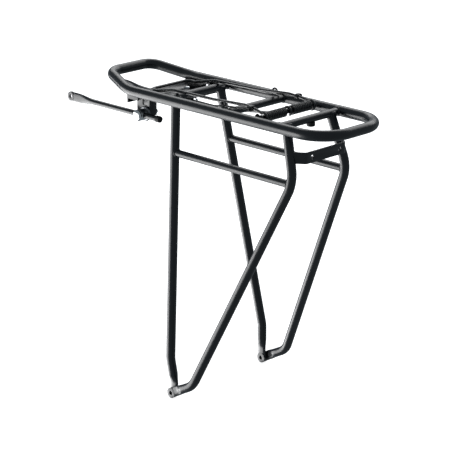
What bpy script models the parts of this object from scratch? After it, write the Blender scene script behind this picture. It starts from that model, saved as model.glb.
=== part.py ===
"""Rear rack for a bicycle: a tube platform on splayed legs, two front struts and a sprung wire flap.

Metres, +Z up, +X towards the rear of the bicycle, -Y its left side.
The origin is the middle of the line through the two foot bolt holes.
"""
import math

import bmesh
import bpy
from mathutils import Matrix, Vector

MM = 0.001
GAP = 0.3 * MM

# Platform ring
TOP_Z = 384.0 * MM
RING_R = 7.0 * MM
RAIL_Y = 57.0 * MM
REAR_X = 232.5 * MM
REAR_BEND_R = 41.0 * MM
NOSE_BEND_X = -110.5 * MM
NOSE_X = -167.5 * MM
NOSE_Y = 32.5 * MM
NOSE_RISE = 11.4 * MM
NOSE_CORNER_R = 22.0 * MM

# Cross tubes
CROSS_R = 5.0 * MM
FRONT_CROSS_X = -38.0 * MM
MIDDLE_CROSS_X = 62.5 * MM
REAR_CROSS_X = 155.0 * MM

# Legs: both legs of a side lie in one plane that leans outwards going down
LEG_R = 6.1 * MM
LEG_TOP_Y = 40.0 * MM
SPLAY = 0.138
FRONT_LEG_LEAN = 0.1028
FRONT_LEG_FOOT_X = 1.5 * MM
ANKLE_Z = 47.0 * MM
REAR_KNEE = (175.3 * MM, 317.0 * MM)
REAR_HEEL = (39.5 * MM, 21.5 * MM)
BAR_R = 4.9 * MM
BAR_Z = 314.0 * MM

# Feet
FOOT_Y = 85.5 * MM
EYELET_R = 7.0 * MM
EYELET_HOLE_R = 2.75 * MM
INNER_FOOT = 4.8 * MM
OUTER_FOOT = 4.4 * MM

# Front plate and strut brackets
PLATE_TOP = TOP_Z - RING_R - GAP
PLATE_T = 3.0 * MM
PLATE_X = (-118.2 * MM, -46.0 * MM)
PLATE_NECK_X = -97.0 * MM
PLATE_Y = (52.0 * MM, 49.0 * MM)
RIM_T = 2.2 * MM
FRONT_RIM_Z = 365.0 * MM
SIDE_RIM_Z = 370.5 * MM
SHEET_T = 2.0 * MM
WEB_Y = 36.5 * MM
WEB_X = (-115.5 * MM, -91.8 * MM)
SHELF_X = (-109.0 * MM, -77.0 * MM)
SHELF_Y = 14.0 * MM
FLANGE_Y = 23.6 * MM
FLANGE_Z = 347.5 * MM
WINDOW = (-105 * MM, -95.4 * MM, 361.4 * MM, 371 * MM)
BRACKET_BOLT = (-84.0 * MM, 25.0 * MM)
BOLT_HOLE_R = 2.8 * MM

# Struts and their clamps
CLAMP_X = -99.0 * MM
CLAMP_Z = 350.5 * MM
ROD_Y = 44.5 * MM
ROD_R = 3.6 * MM
SPOON_X = -238.5 * MM
SPOON_R = 6.4 * MM
ROD_END_X = -64.5 * MM
END_CAP_X = (-70.0 * MM, -62.4 * MM)
END_CAP_R = 4.4 * MM
WASHER_R = 10.2 * MM
WASHER_T = 2.4 * MM
BARREL_R = 7.6 * MM
DOME_R = 7.8 * MM
SHANK_END_Y = 17.0 * MM
SHANK_R = 2.9 * MM
STRUT_TILT = {"left": 0.0, "right": math.radians(1.5)}

# Sprung flap
HINGE_X = 120.0 * MM
HINGE_Z = TOP_Z + 3.6 * MM
HINGE_R = 3.0 * MM
HINGE_END_Y = 46.2 * MM
WIRE_R = 2.0 * MM
ARM_Y = 34.0 * MM
TAIL_RUN = Vector((-0.866, 0, 0.5))
TAIL_LENGTH = 6.0 * MM
TAIL_CAP_R = 2.8 * MM
STAY_R = 1.8 * MM
STAY_END_X = 28.0 * MM
STAY_END_Z = 371.5 * MM
HOOP_X = -92.5 * MM
HOOP_Z = TOP_Z + 0.2 * MM
SPRING_WIRE_R = 1.4 * MM
SPRING_R = 5.0 * MM
SPRING_Y = (5.6 * MM, 38.6 * MM)
SPRING_TURNS = 10
CATCH_R = 1.3 * MM
CATCH_Y = 44.8 * MM
CATCH_EYE = (54.5 * MM, 393.9 * MM, 2.9 * MM)
CLIP_X = (94.8 * MM, 101.2 * MM)
CLIP_Y = (41.0 * MM, 44.8 * MM)
CLIP_Z = 394.9 * MM
CLIP_R = 3.6 * MM

# Rear light bracket
LIGHT_X = 183.5 * MM
LIGHT_Z = (339.5 * MM, 354.0 * MM)
LIGHT_Y = 35.0 * MM
LIGHT_HOLE_Y = 25.0 * MM
LIGHT_HOLE_R = 2.75 * MM

SIDES = {"left": -1, "right": 1}


def clear_scene():
    for item in list(bpy.data.objects):
        bpy.data.objects.remove(item)


def material(name, color, roughness, metallic):
    made = bpy.data.materials.new(name)
    made.use_nodes = True
    shader = made.node_tree.nodes["Principled BSDF"]
    shader.inputs["Base Color"].default_value = (*color, 1.0)
    shader.inputs["Roughness"].default_value = roughness
    shader.inputs["Metallic"].default_value = metallic
    return made


def add_object(name, mesh_data, look=None):
    made = bpy.data.objects.new(name, mesh_data)
    bpy.context.collection.objects.link(made)
    if look:
        own = look.copy()
        own.name = name
        mesh_data.materials.append(own)
    return made


def finish_mesh(name, bm, look, smooth_angle=40.0):
    bmesh.ops.recalc_face_normals(bm, faces=bm.faces)
    mesh_data = bpy.data.meshes.new(name)
    bm.to_mesh(mesh_data)
    bm.free()
    mesh_data.shade_smooth()
    mesh_data.set_sharp_from_angle(angle=math.radians(smooth_angle))
    return add_object(name, mesh_data, look)


def arc_between(start, corner, end, radius, steps):
    """Points of the round bend of a bent tube where two straight runs meet."""
    to_start = (start - corner).normalized()
    to_end = (end - corner).normalized()
    half = to_start.angle(to_end) / 2
    reach = radius / math.tan(half)
    centre = corner + (to_start + to_end).normalized() * (radius / math.sin(half))
    first = corner + to_start * reach - centre
    last = corner + to_end * reach - centre
    turn = math.pi - 2 * half
    points = []
    for step in range(steps + 1):
        share = step / steps
        blend = (first * math.sin((1 - share) * turn) + last * math.sin(share * turn)) / math.sin(turn)
        points.append(centre + blend)
    return points


def bent_path(corners, radii, steps=6):
    """A route of straight runs with round bends; radii holds one value for each inner corner."""
    corners = [Vector(corner) for corner in corners]
    points = [corners[0]]
    for index, radius in enumerate(radii, start=1):
        points += arc_between(corners[index - 1], corners[index], corners[index + 1], radius, steps)
    points.append(corners[-1])
    return points


def closed_path(corners, radii, steps=6):
    corners = [Vector(corner) for corner in corners]
    count = len(corners)
    points = []
    for index, radius in enumerate(radii):
        following = corners[(index + 1) % count]
        points += arc_between(corners[index - 1], corners[index], following, radius, steps)
    return points


def sweep(points, radius, sides=12, closed=False, across=(0, 0, 1), shape=None):
    """A tube along points. shape(share) gives (half width, half thickness) for a pressed end."""
    points = [Vector(point) for point in points]
    count = len(points)
    lengths = [0.0]
    for index in range(1, count):
        lengths.append(lengths[-1] + (points[index] - points[index - 1]).length)
    bm = bmesh.new()
    rings = []
    for index, point in enumerate(points):
        before = points[index - 1] if closed or index > 0 else point
        after = points[(index + 1) % count] if closed or index < count - 1 else point
        along = (after - before).normalized()
        thick_axis = Vector(across)
        thick_axis = (thick_axis - along * thick_axis.dot(along)).normalized()
        wide_axis = along.cross(thick_axis)
        wide, thick = shape(lengths[index]) if shape else (radius, radius)
        ring = []
        for side in range(sides):
            angle = 2 * math.pi * (side + 0.5) / sides
            offset = wide_axis * wide * math.cos(angle) + thick_axis * thick * math.sin(angle)
            ring.append(bm.verts.new(point + offset))
        rings.append(ring)
    for index in range(count if closed else count - 1):
        ring = rings[index]
        following = rings[(index + 1) % count]
        for side in range(sides):
            other = (side + 1) % sides
            bm.faces.new((ring[side], ring[other], following[other], following[side]))
    if not closed:
        bm.faces.new(rings[0][::-1])
        bm.faces.new(rings[-1])
    return bm


def prism(outline, axis, start, end):
    """A closed outline of (a, b) points pushed along X, Y or Z from start to end."""
    bm = bmesh.new()

    def place(a, b, depth):
        if axis == "X":
            return (depth, a, b)
        if axis == "Y":
            return (a, depth, b)
        return (a, b, depth)

    low = [bm.verts.new(place(a, b, start)) for a, b in outline]
    face = bm.faces.new(low)
    grown = bmesh.ops.extrude_face_region(bm, geom=[face])
    moved = [item for item in grown["geom"] if isinstance(item, bmesh.types.BMVert)]
    shift = Vector(place(0, 0, end)) - Vector(place(0, 0, start))
    bmesh.ops.translate(bm, verts=moved, vec=shift)
    return bm


def box_outline(a0, a1, b0, b1):
    return [(a0, b0), (a1, b0), (a1, b1), (a0, b1)]


def round_outline(a, b, radius, count):
    turns = [2 * math.pi * index / count for index in range(count)]
    return [(a + radius * math.cos(turn), b + radius * math.sin(turn)) for turn in turns]


def slot_outline(a0, a1, b, radius, half_count=8):
    """A long hole with round ends, from a0 to a1 along the first axis."""
    points = []
    for centre, begin in ((a1, -90), (a0, 90)):
        for step in range(half_count + 1):
            turn = math.radians(begin + 180 * step / half_count)
            points.append((centre + radius * math.cos(turn), b + radius * math.sin(turn)))
    return points


def cut(target, bm, name):
    """Take a shape away from target with a Boolean."""
    bmesh.ops.recalc_face_normals(bm, faces=bm.faces)
    mesh_data = bpy.data.meshes.new(name)
    bm.to_mesh(mesh_data)
    bm.free()
    cutter = add_object(name, mesh_data)
    cutter.hide_render = True
    cutter.display_type = "WIRE"
    boolean = target.modifiers.new(name, "BOOLEAN")
    boolean.operation = "DIFFERENCE"
    boolean.object = cutter
    return cutter


def join(target, bm, name):
    """Weld a shape onto target with a Boolean."""
    guide = cut(target, bm, name)
    target.modifiers[name].operation = "UNION"
    return guide


def pivot_at(name, spot):
    pivot = bpy.data.objects.new(name, None)
    pivot.location = spot
    bpy.context.collection.objects.link(pivot)
    return pivot


def hang_on(pivot, pieces):
    """Parent pieces and their cutters to the pivot, each left where it is."""
    back = Matrix.Translation(pivot.location).inverted()
    for piece in pieces:
        cutters = [modifier.object for modifier in piece.modifiers if modifier.type == "BOOLEAN"]
        for item in [piece] + cutters:
            item.parent = pivot
            item.matrix_parent_inverse = back


def side_y(height):
    """Distance of the leg plane from the middle, at a height."""
    return LEG_TOP_Y + SPLAY * (TOP_Z - height)


def front_leg_x(height):
    return FRONT_LEG_FOOT_X - FRONT_LEG_LEAN * height


def build_ring(look):
    rise = TOP_Z + NOSE_RISE
    left = [(NOSE_X, -NOSE_Y - 5 * MM, rise), (NOSE_BEND_X, -RAIL_Y, TOP_Z), (REAR_X, -RAIL_Y, TOP_Z)]
    right = [(x, -y, z) for x, y, z in reversed(left)]
    radii = [NOSE_CORNER_R, 70 * MM, REAR_BEND_R]
    path = closed_path(left + right, radii + radii[::-1], steps=8)
    return finish_mesh("platform_ring", sweep(path, RING_R, sides=16, closed=True), look)


def build_cross_tube(name, x, look):
    reach = RAIL_Y - 2 * MM
    tube = finish_mesh(name, sweep([(x, -reach, TOP_Z), (x, reach, TOP_Z)], CROSS_R, sides=16), look)
    for side, sign in SIDES.items():
        ends = [(x - 20 * MM, sign * RAIL_Y, TOP_Z), (x + 20 * MM, sign * RAIL_Y, TOP_Z)]
        cut(tube, sweep(ends, RING_R + GAP, sides=20), f"{name}_{side}_saddle")
    return tube


def leg_top_cut(leg, x, name):
    ends = [(x, -RAIL_Y, TOP_Z), (x, RAIL_Y, TOP_Z)]
    cut(leg, sweep(ends, CROSS_R + GAP, sides=16), name)


def pressed(start, end, wide, thick):
    """Section of a tube that is round until start and pressed flat from end on."""
    def shape(distance):
        share = min(max((distance - start) / (end - start), 0.0), 1.0)
        share = share * share * (3 - 2 * share)
        return (LEG_R + (wide - LEG_R) * share, LEG_R + (thick - LEG_R) * share)
    return shape


def dense(points, spacing):
    """Extra stations along straight runs, so that a pressed end can change its section."""
    result = [points[0]]
    for point in points[1:]:
        steps = max(1, round((point - result[-1]).length / spacing))
        start = result[-1]
        for step in range(1, steps + 1):
            result.append(start.lerp(point, step / steps))
    return result


def eyelet(leg, sign, inner, thickness, side, label):
    low = sign * inner
    high = sign * (inner + thickness)
    join(leg, prism(round_outline(0, 0, EYELET_R, 32), "Y", low, high), f"{side}_{label}_eye")
    hole = prism(round_outline(0, 0, EYELET_HOLE_R, 24), "Y", low - sign * 5 * MM, high + sign * 5 * MM)
    cut(leg, hole, f"{side}_{label}_hole")


def build_front_leg(side, look):
    sign = SIDES[side]
    inner = FOOT_Y - INNER_FOOT
    centre = inner + INNER_FOOT / 2
    ankle_x = front_leg_x(ANKLE_Z)
    corners = [
        (front_leg_x(TOP_Z), sign * side_y(TOP_Z), TOP_Z),
        (ankle_x, sign * side_y(ANKLE_Z), ANKLE_Z),
        (0, sign * centre, 14 * MM),
        (0, sign * centre, 0),
    ]
    path = bent_path(corners, [40 * MM, 14 * MM], steps=4)
    length = sum((b - a).length for a, b in zip(path, path[1:]))
    path = path[:6] + dense(path[5:], 7 * MM)[1:]
    shape = pressed(length - 27 * MM, length - 12 * MM, 6.6 * MM, INNER_FOOT / 2 - 0.1 * MM)
    leg = finish_mesh(f"{side}_front_leg", sweep(path, LEG_R, sides=14, across=(0, 1, 0), shape=shape), look)
    leg_top_cut(leg, FRONT_CROSS_X, f"{side}_front_leg_top")
    eyelet(leg, sign, inner, INNER_FOOT, side, "front")
    return leg


def build_rear_leg(side, look):
    sign = SIDES[side]
    inner = FOOT_Y + GAP
    centre = inner + OUTER_FOOT / 2
    knee_x, knee_z = REAR_KNEE
    heel_x, heel_z = REAR_HEEL
    corners = [
        (REAR_CROSS_X, sign * side_y(TOP_Z), TOP_Z),
        (knee_x, sign * side_y(knee_z), knee_z),
        (heel_x, sign * (side_y(heel_z) - 1.5 * MM), heel_z),
        (15 * MM, sign * centre, heel_z * 15 * MM / heel_x),
        (0, sign * centre, 0),
    ]
    path = bent_path(corners, [45 * MM, 30 * MM, 8 * MM], steps=6)
    length = sum((b - a).length for a, b in zip(path, path[1:]))
    path = path[:9] + dense(path[8:], 6 * MM)[1:]
    shape = pressed(length - 26 * MM, length - 12 * MM, 6.6 * MM, OUTER_FOOT / 2 - 0.1 * MM)
    leg = finish_mesh(f"{side}_rear_leg", sweep(path, LEG_R, sides=14, across=(0, 1, 0), shape=shape), look)
    leg_top_cut(leg, REAR_CROSS_X, f"{side}_rear_leg_top")
    eyelet(leg, sign, inner, OUTER_FOOT, side, "rear")
    return leg


def build_side_bar(side, look):
    sign = SIDES[side]
    y = sign * side_y(BAR_Z)
    knee_x, knee_z = REAR_KNEE
    ends = [(front_leg_x(BAR_Z), y, BAR_Z), (knee_x - 2 * MM, y, BAR_Z)]
    bar = finish_mesh(f"{side}_side_bar", sweep(ends, BAR_R, sides=14), look)
    front = [(front_leg_x(z), sign * side_y(z), z) for z in (BAR_Z - 20 * MM, BAR_Z + 20 * MM)]
    cut(bar, sweep(front, LEG_R + GAP, sides=16, across=(0, 1, 0)), f"{side}_bar_front_saddle")
    corners = [
        (REAR_CROSS_X, sign * side_y(TOP_Z), TOP_Z),
        (knee_x, sign * side_y(knee_z), knee_z),
        (REAR_HEEL[0], sign * side_y(REAR_HEEL[1]), REAR_HEEL[1]),
    ]
    rear = bent_path(corners, [45 * MM], steps=6)
    cut(bar, sweep(rear, LEG_R + GAP, sides=16, across=(0, 1, 0)), f"{side}_bar_rear_saddle")
    return bar


def strip(points, low, high, thickness):
    """A flat strip on edge that follows points in plan view."""
    half = thickness / 2
    outer = []
    inner = []
    for index, point in enumerate(points):
        before = points[max(index - 1, 0)]
        after = points[min(index + 1, len(points) - 1)]
        along = (after - before).normalized()
        normal = Vector((-along.y, along.x))
        spread = half
        if 0 < index < len(points) - 1:
            run = (point - before).normalized()
            spread = half / max(normal.dot(Vector((-run.y, run.x))), 0.5)
        outer.append(point + normal * spread)
        inner.append(point - normal * spread)
    outline = [(p.x, p.y) for p in outer + inner[::-1]]
    return prism(outline, "Z", low, high)


def build_light_bracket(look):
    wing_z = sum(LIGHT_Z) / 2
    share = (TOP_Z - wing_z) / (TOP_Z - REAR_KNEE[1])
    leg_x = REAR_CROSS_X + (REAR_KNEE[0] - REAR_CROSS_X) * share
    wing_y = side_y(wing_z) - 1.5 * MM
    corners = [
        (leg_x + LEG_R, -wing_y, 0),
        (LIGHT_X, -LIGHT_Y, 0),
        (LIGHT_X, LIGHT_Y, 0),
        (leg_x + LEG_R, wing_y, 0),
    ]
    plan = [Vector((p.x, p.y)) for p in bent_path(corners, [4 * MM, 4 * MM], steps=4)]
    bracket = finish_mesh("rear_light_bracket", strip(plan, *LIGHT_Z, 2.2 * MM), look)
    for side, sign in SIDES.items():
        leg = [
            (REAR_CROSS_X, sign * side_y(TOP_Z), TOP_Z),
            (REAR_KNEE[0], sign * side_y(REAR_KNEE[1]), REAR_KNEE[1]),
        ]
        cut(bracket, sweep(leg, LEG_R + GAP, sides=16, across=(0, 1, 0)), f"light_{side}_saddle")
        hole = round_outline(sign * LIGHT_HOLE_Y, wing_z, LIGHT_HOLE_R, 20)
        cut(bracket, prism(hole, "X", LIGHT_X - 9 * MM, LIGHT_X + 9 * MM), f"light_{side}_hole")
    return bracket


def build_front_plate(look):
    """Sheet under the two rails, its front edge and front corners folded down as a rim."""
    x0, x1 = PLATE_X
    wide, narrow = PLATE_Y
    low = PLATE_TOP - PLATE_T
    outline = [
        (x0, -wide), (PLATE_NECK_X, -wide), (PLATE_NECK_X, -narrow), (x1, -narrow),
        (x1, narrow), (PLATE_NECK_X, narrow), (PLATE_NECK_X, wide), (x0, wide),
    ]
    plate = finish_mesh("front_plate", prism(outline, "Z", low, PLATE_TOP), look)
    top = PLATE_TOP - PLATE_T / 2
    join(plate, prism(box_outline(x0, x0 + RIM_T, -wide, wide), "Z", FRONT_RIM_Z, top), "plate_front_rim")
    span = (low - 5 * MM, PLATE_TOP + 5 * MM)
    middle = (PLATE_NECK_X + x1) / 2
    slot = [(a, b) for b, a in slot_outline(-13 * MM, 13 * MM, middle + 10 * MM, 3 * MM)]
    cut(plate, prism(slot[::-1], "Z", *span), "plate_slot")
    bolt_x, bolt_y = BRACKET_BOLT
    for side, sign in SIDES.items():
        rim = box_outline(x0 + RIM_T / 2, PLATE_NECK_X, sign * (wide - RIM_T), sign * wide)
        join(plate, prism(rim, "Z", SIDE_RIM_Z, top), f"plate_{side}_rim")
        hole = round_outline(bolt_x, sign * bolt_y, BOLT_HOLE_R, 16)
        cut(plate, prism(hole, "Z", *span), f"plate_{side}_hole")
        oval = slot_outline(middle + 4 * MM, middle + 14 * MM, sign * 36 * MM, 3.5 * MM)
        cut(plate, prism(oval, "Z", *span), f"plate_{side}_oval")
    return plate


def build_strut_bracket(side, look):
    """Channel of folded sheet: two webs, a window in the outer one, a flange between them, a shelf on top."""
    sign = SIDES[side]
    x0, x1 = WEB_X
    top = PLATE_TOP - PLATE_T - GAP
    bottom = FLANGE_Z
    web = prism(box_outline(x0, x1, bottom, top), "Y", sign * (WEB_Y - SHEET_T), sign * WEB_Y)
    bracket = finish_mesh(f"{side}_strut_bracket", web, look)
    inner = WEB_Y - SHEET_T / 2
    shelf = box_outline(*SHELF_X, sign * SHELF_Y, sign * inner)
    join(bracket, prism(shelf, "Z", top - SHEET_T, top), f"{side}_bracket_shelf")
    flange = box_outline(x1 - SHEET_T, x1, sign * FLANGE_Y, sign * inner)
    join(bracket, prism(flange, "Z", bottom, top - SHEET_T / 2), f"{side}_bracket_flange")
    back_web = box_outline(x0, x1 - SHEET_T / 2, sign * FLANGE_Y, sign * (FLANGE_Y + SHEET_T))
    join(bracket, prism(back_web, "Z", bottom, top - SHEET_T / 2), f"{side}_bracket_back_web")
    bolt_x, bolt_y = BRACKET_BOLT
    hole = round_outline(bolt_x, sign * bolt_y, BOLT_HOLE_R, 16)
    cut(bracket, prism(hole, "Z", top - 8 * MM, top + 5 * MM), f"{side}_bracket_hole")
    span = (sign * (WEB_Y - 8 * MM), sign * (WEB_Y + 8 * MM))
    cut(bracket, prism(box_outline(*WINDOW), "Y", *span), f"{side}_bracket_window")
    clamp_hole = round_outline(CLAMP_X, CLAMP_Z, SHANK_R + 0.5 * MM, 16)
    clamp_span = (sign * (FLANGE_Y - 3 * MM), sign * (WEB_Y + 3 * MM))
    cut(bracket, prism(clamp_hole, "Y", *clamp_span), f"{side}_bracket_clamp_hole")
    return bracket


def turned(name, profile, look, centre, axis, sign=1, count=24):
    """A round piece from (distance along the axis, radius) points, both ends closed on the axis."""
    bm = bmesh.new()
    rings = []
    for along, radius in profile:
        ring = []
        for index in range(count):
            turn = 2 * math.pi * index / count
            a = radius * math.cos(turn)
            b = radius * math.sin(turn)
            if axis == "Y":
                spot = (centre[0] + a, centre[1] + sign * along, centre[2] + b)
            elif axis == "Z":
                spot = (centre[0] + a, centre[1] + b, centre[2] + sign * along)
            else:
                spot = (centre[0] + sign * along, centre[1] + a, centre[2] + b)
            ring.append(bm.verts.new(spot))
        rings.append(ring)
    for ring, following in zip(rings, rings[1:]):
        for index in range(count):
            other = (index + 1) % count
            bm.faces.new((ring[index], ring[other], following[other], following[index]))
    bm.faces.new(rings[0][::-1])
    bm.faces.new(rings[-1])
    return finish_mesh(name, bm, look)


def ring_piece(name, inner, outer, low, high, look, centre, axis, count=24, outer_count=None):
    """A washer or a nut: a disc or a hexagon with a round hole."""
    a, b = {"Y": (0, 2), "Z": (0, 1), "X": (1, 2)}[axis]
    outline = round_outline(centre[a], centre[b], outer, outer_count or count)
    piece = finish_mesh(name, prism(outline, axis, low, high), look)
    hole = round_outline(centre[a], centre[b], inner, count)
    reach = 3 * MM if high > low else -3 * MM
    cut(piece, prism(hole, axis, low - reach, high + reach), f"{name}_bore")
    return piece


def build_bracket_fasteners(side, look):
    sign = SIDES[side]
    x, y = BRACKET_BOLT
    centre = (x, sign * y, PLATE_TOP + GAP)
    under = PLATE_TOP - PLATE_T - SHEET_T - 2 * GAP
    shank = centre[2] - under + 5 * MM
    profile = [(-shank, 2.1 * MM), (-shank + 0.4 * MM, 2.45 * MM), (0, 2.45 * MM), (0, 4.6 * MM)]
    for step in range(1, 6):
        turn = math.radians(15 * step)
        profile.append((2.6 * MM * math.sin(turn), 4.6 * MM * math.cos(turn)))
    bolt = turned(f"{side}_bracket_bolt", profile, look, centre, "Z", count=20)
    spot = (x, sign * y, 0)
    low = under - GAP - 3.6 * MM
    nut = ring_piece(f"{side}_bracket_nut", 2.75 * MM, 4.7 * MM, low, under - GAP, look, spot, "Z", 16, 6)
    return bolt, nut


def build_clamp(side, looks):
    """Barrel with a cross bore for the rod, its dome screw, the cup washer and the nut."""
    sign = SIDES[side]
    axis_spot = (CLAMP_X, 0, CLAMP_Z)
    seat = WEB_Y + GAP
    ring_piece(f"{side}_clamp_washer", SHANK_R + 0.4 * MM, WASHER_R, sign * seat, sign * (seat + WASHER_T),
               looks["steel"], axis_spot, "Y", 24)
    foot = seat + WASHER_T + GAP
    head = ROD_Y + 5.2 * MM
    edge = 0.5 * MM
    barrel_profile = [
        (SHANK_END_Y, SHANK_R - edge), (SHANK_END_Y + edge, SHANK_R), (foot, SHANK_R),
        (foot, BARREL_R - edge), (foot + edge, BARREL_R), (head - edge, BARREL_R), (head, BARREL_R - edge),
    ]
    barrel = turned(f"{side}_clamp_barrel", barrel_profile, looks["chrome"], axis_spot, "Y", sign, 24)
    bore = [(CLAMP_X - 15 * MM, sign * ROD_Y, CLAMP_Z), (CLAMP_X + 15 * MM, sign * ROD_Y, CLAMP_Z)]
    cut(barrel, sweep(bore, ROD_R + GAP, sides=16), f"{side}_barrel_bore")
    rim = head + 2.2 * MM
    dome = [(head + GAP, DOME_R - edge), (head + 1.0 * MM, DOME_R), (rim, DOME_R)]
    for step in range(1, 6):
        turn = math.radians(16 * step)
        dome.append((rim + 2.6 * MM * math.sin(turn), DOME_R * math.cos(turn)))
    screw = turned(f"{side}_clamp_screw", dome, looks["chrome"], axis_spot, "Y", sign, 24)
    inner = WEB_Y - SHEET_T - GAP
    ring_piece(f"{side}_clamp_nut", SHANK_R + GAP, 4.6 * MM, sign * inner, sign * (inner - 5 * MM),
               looks["steel"], axis_spot, "Y", 16, 6)
    return [barrel, screw]


def spoon_shape(distance):
    """Section of the strut: a tall flat tongue at its front end that runs back into a round rod."""
    share = min(max((46 * MM - distance) / (30 * MM), 0.0), 1.0)
    share = share * share * (3 - 2 * share)
    return (ROD_R + (SPOON_R - ROD_R) * share, ROD_R + (1.5 * MM - ROD_R) * share)


def build_strut(side, look):
    sign = SIDES[side]
    y = sign * ROD_Y
    stations = [SPOON_X + step * 4 * MM for step in range(13)]
    path = [(x, y, CLAMP_Z) for x in stations] + [(ROD_END_X, y, CLAMP_Z)]
    strut = finish_mesh(f"{side}_strut", sweep(path, ROD_R, 12, across=(0, 1, 0), shape=spoon_shape), look)
    tongue = round_outline(SPOON_X, CLAMP_Z, SPOON_R, 20)
    join(strut, prism(tongue, "Y", y - 1.6 * MM, y + 1.6 * MM), f"{side}_strut_tongue")
    hole = round_outline(SPOON_X, CLAMP_Z, EYELET_HOLE_R, 16)
    cut(strut, prism(hole, "Y", y - 6 * MM, y + 6 * MM), f"{side}_strut_hole")
    return strut


def build_end_cap(side, look):
    """Soft cap over the rear end of the strut."""
    centre = (0, SIDES[side] * ROD_Y, CLAMP_Z)
    front, back = END_CAP_X
    edge = 0.8 * MM
    profile = [(front, END_CAP_R - 0.3 * MM), (front + 0.3 * MM, END_CAP_R),
               (back - edge, END_CAP_R), (back, END_CAP_R - edge)]
    cap = turned(f"{side}_strut_cap", profile, look, centre, "X", 1, 16)
    bore = [(front - 5 * MM, centre[1], CLAMP_Z), (ROD_END_X + GAP, centre[1], CLAMP_Z)]
    cut(cap, sweep(bore, ROD_R + GAP, sides=12), f"{side}_cap_bore")
    return cap


def hinge_loop(centre_y, radius, begin, end, drift, steps=12):
    """Points of a wire eye around the hinge rod, from begin to end degrees, seen from -Y."""
    points = []
    for step in range(steps + 1):
        share = step / steps
        turn = math.radians(begin + (end - begin) * share)
        x = HINGE_X + radius * math.cos(turn)
        z = HINGE_Z + radius * math.sin(turn)
        points.append(Vector((x, centre_y + drift * share, z)))
    return points


def arm_path(sign):
    """Half of the hoop: a short tail, the hinge eye, then over both cross tubes down to the front bar."""
    loop_r = HINGE_R + 0.5 * MM + WIRE_R
    loop = hinge_loop(sign * 43.4 * MM, loop_r, -120, 125, -sign * 0.6 * MM, steps=10)
    tail = loop[0] + TAIL_RUN * TAIL_LENGTH
    corners = [
        loop[-1],
        (HINGE_X - 15 * MM, sign * 41.4 * MM, TOP_Z + 10.4 * MM),
        (HINGE_X - 35 * MM, sign * 39.8 * MM, TOP_Z + 12.4 * MM),
        (30 * MM, sign * 37.8 * MM, TOP_Z + 8.8 * MM),
        (FRONT_CROSS_X - 6 * MM, sign * 36.4 * MM, TOP_Z + 7.6 * MM),
        (HOOP_X + 13 * MM, sign * ARM_Y, HOOP_Z),
        (HOOP_X, sign * ARM_Y, HOOP_Z),
        (HOOP_X, 0, HOOP_Z),
    ]
    radii = [20 * MM, 25 * MM, 80 * MM, 20 * MM, 14 * MM, 9 * MM]
    return [tail] + loop[:-1] + bent_path(corners, radii, steps=4)


def build_tail_cap(side, look):
    """Rubber cap on the free end of the hoop's wire, beside the hinge."""
    end = arm_path(SIDES[side])[0]
    reaches = (GAP, GAP + 0.6 * MM, 4.4 * MM, 5.2 * MM)
    points = [end + TAIL_RUN * reach for reach in reaches]

    def shape(distance):
        inside = min(distance, reaches[-1] - GAP - distance)
        radius = TAIL_CAP_R - 0.6 * MM + min(inside, 0.6 * MM)
        return (radius, radius)

    return finish_mesh(f"{side}_tail_cap", sweep(points, TAIL_CAP_R, sides=14, across=(0, 1, 0), shape=shape), look)


def build_hoop(look):
    left = arm_path(-1)
    right = arm_path(1)
    path = left[:-1] + right[::-1][1:]
    return finish_mesh("flap_hoop", sweep(path, WIRE_R, sides=8, across=(0.02, 0.55, 1)), look)


def build_hinge_rod(look):
    profile = [(-HINGE_END_Y - 2.6 * MM, 2.6 * MM), (-HINGE_END_Y - 1.8 * MM, 3.9 * MM),
               (-HINGE_END_Y - 0.6 * MM, 3.9 * MM), (-HINGE_END_Y, HINGE_R)]
    profile += [(-along, radius) for along, radius in reversed(profile)]
    return turned("flap_hinge_rod", profile, look, (HINGE_X, 0, HINGE_Z), "Y", count=16)


def build_stay(look):
    """Wire that steadies the hinge rod: an eye on the rod, then a run forward under the middle cross tube."""
    loop_r = HINGE_R + GAP + STAY_R
    loop = hinge_loop(0.6 * MM, loop_r, -60, 236, -1.6 * MM)
    y = loop[-1].y
    under = (MIDDLE_CROSS_X, y, TOP_Z - CROSS_R - 0.35 * MM - STAY_R)
    run = bent_path([loop[-1], under, (STAY_END_X, y, STAY_END_Z)], [80 * MM])
    return finish_mesh("flap_stay", sweep(loop[:-1] + run, STAY_R, sides=8, across=(0, 1, 0)), look)


def build_spring(side, look):
    sign = SIDES[side]
    y0, y1 = SPRING_Y
    per_turn = 10
    count = SPRING_TURNS * per_turn
    points = []
    for step in range(count + 1):
        share = step / count
        turn = math.radians(90) + 2 * math.pi * step / per_turn
        x = HINGE_X + SPRING_R * math.cos(turn)
        z = HINGE_Z + SPRING_R * math.sin(turn)
        points.append(Vector((x, sign * (y0 + (y1 - y0) * share), z)))
    tail = points[-1] + Vector((-7 * MM, 0, 0))
    return finish_mesh(f"{side}_flap_spring", sweep(points + [tail], SPRING_WIRE_R, 5, across=(0, 1, 0)), look)


def catch_path(sign):
    """Thin wire beside the hoop arm: held by the clip, an upright eye, then a low run forward."""
    y = sign * CATCH_Y
    drift = sign * (2 * CATCH_R + GAP)
    eye_x, eye_z, eye_r = CATCH_EYE
    low_z = eye_z - eye_r
    held = [Vector((102 * MM, y, TOP_Z + 10.6 * MM)), Vector((75 * MM, y, TOP_Z + 7.9 * MM)),
            Vector((MIDDLE_CROSS_X, y, low_z))]
    eye = []
    for step in range(13):
        turn = math.radians(-90 - 30 * step)
        spot = (eye_x + eye_r * math.cos(turn), y + drift * step / 12, eye_z + eye_r * math.sin(turn))
        eye.append(Vector(spot))
    run = [Vector((40 * MM, y + drift, TOP_Z + 4.2 * MM)), Vector((0, y + drift * 0.8, TOP_Z + 4.4 * MM))]
    return held, eye, run


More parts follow.
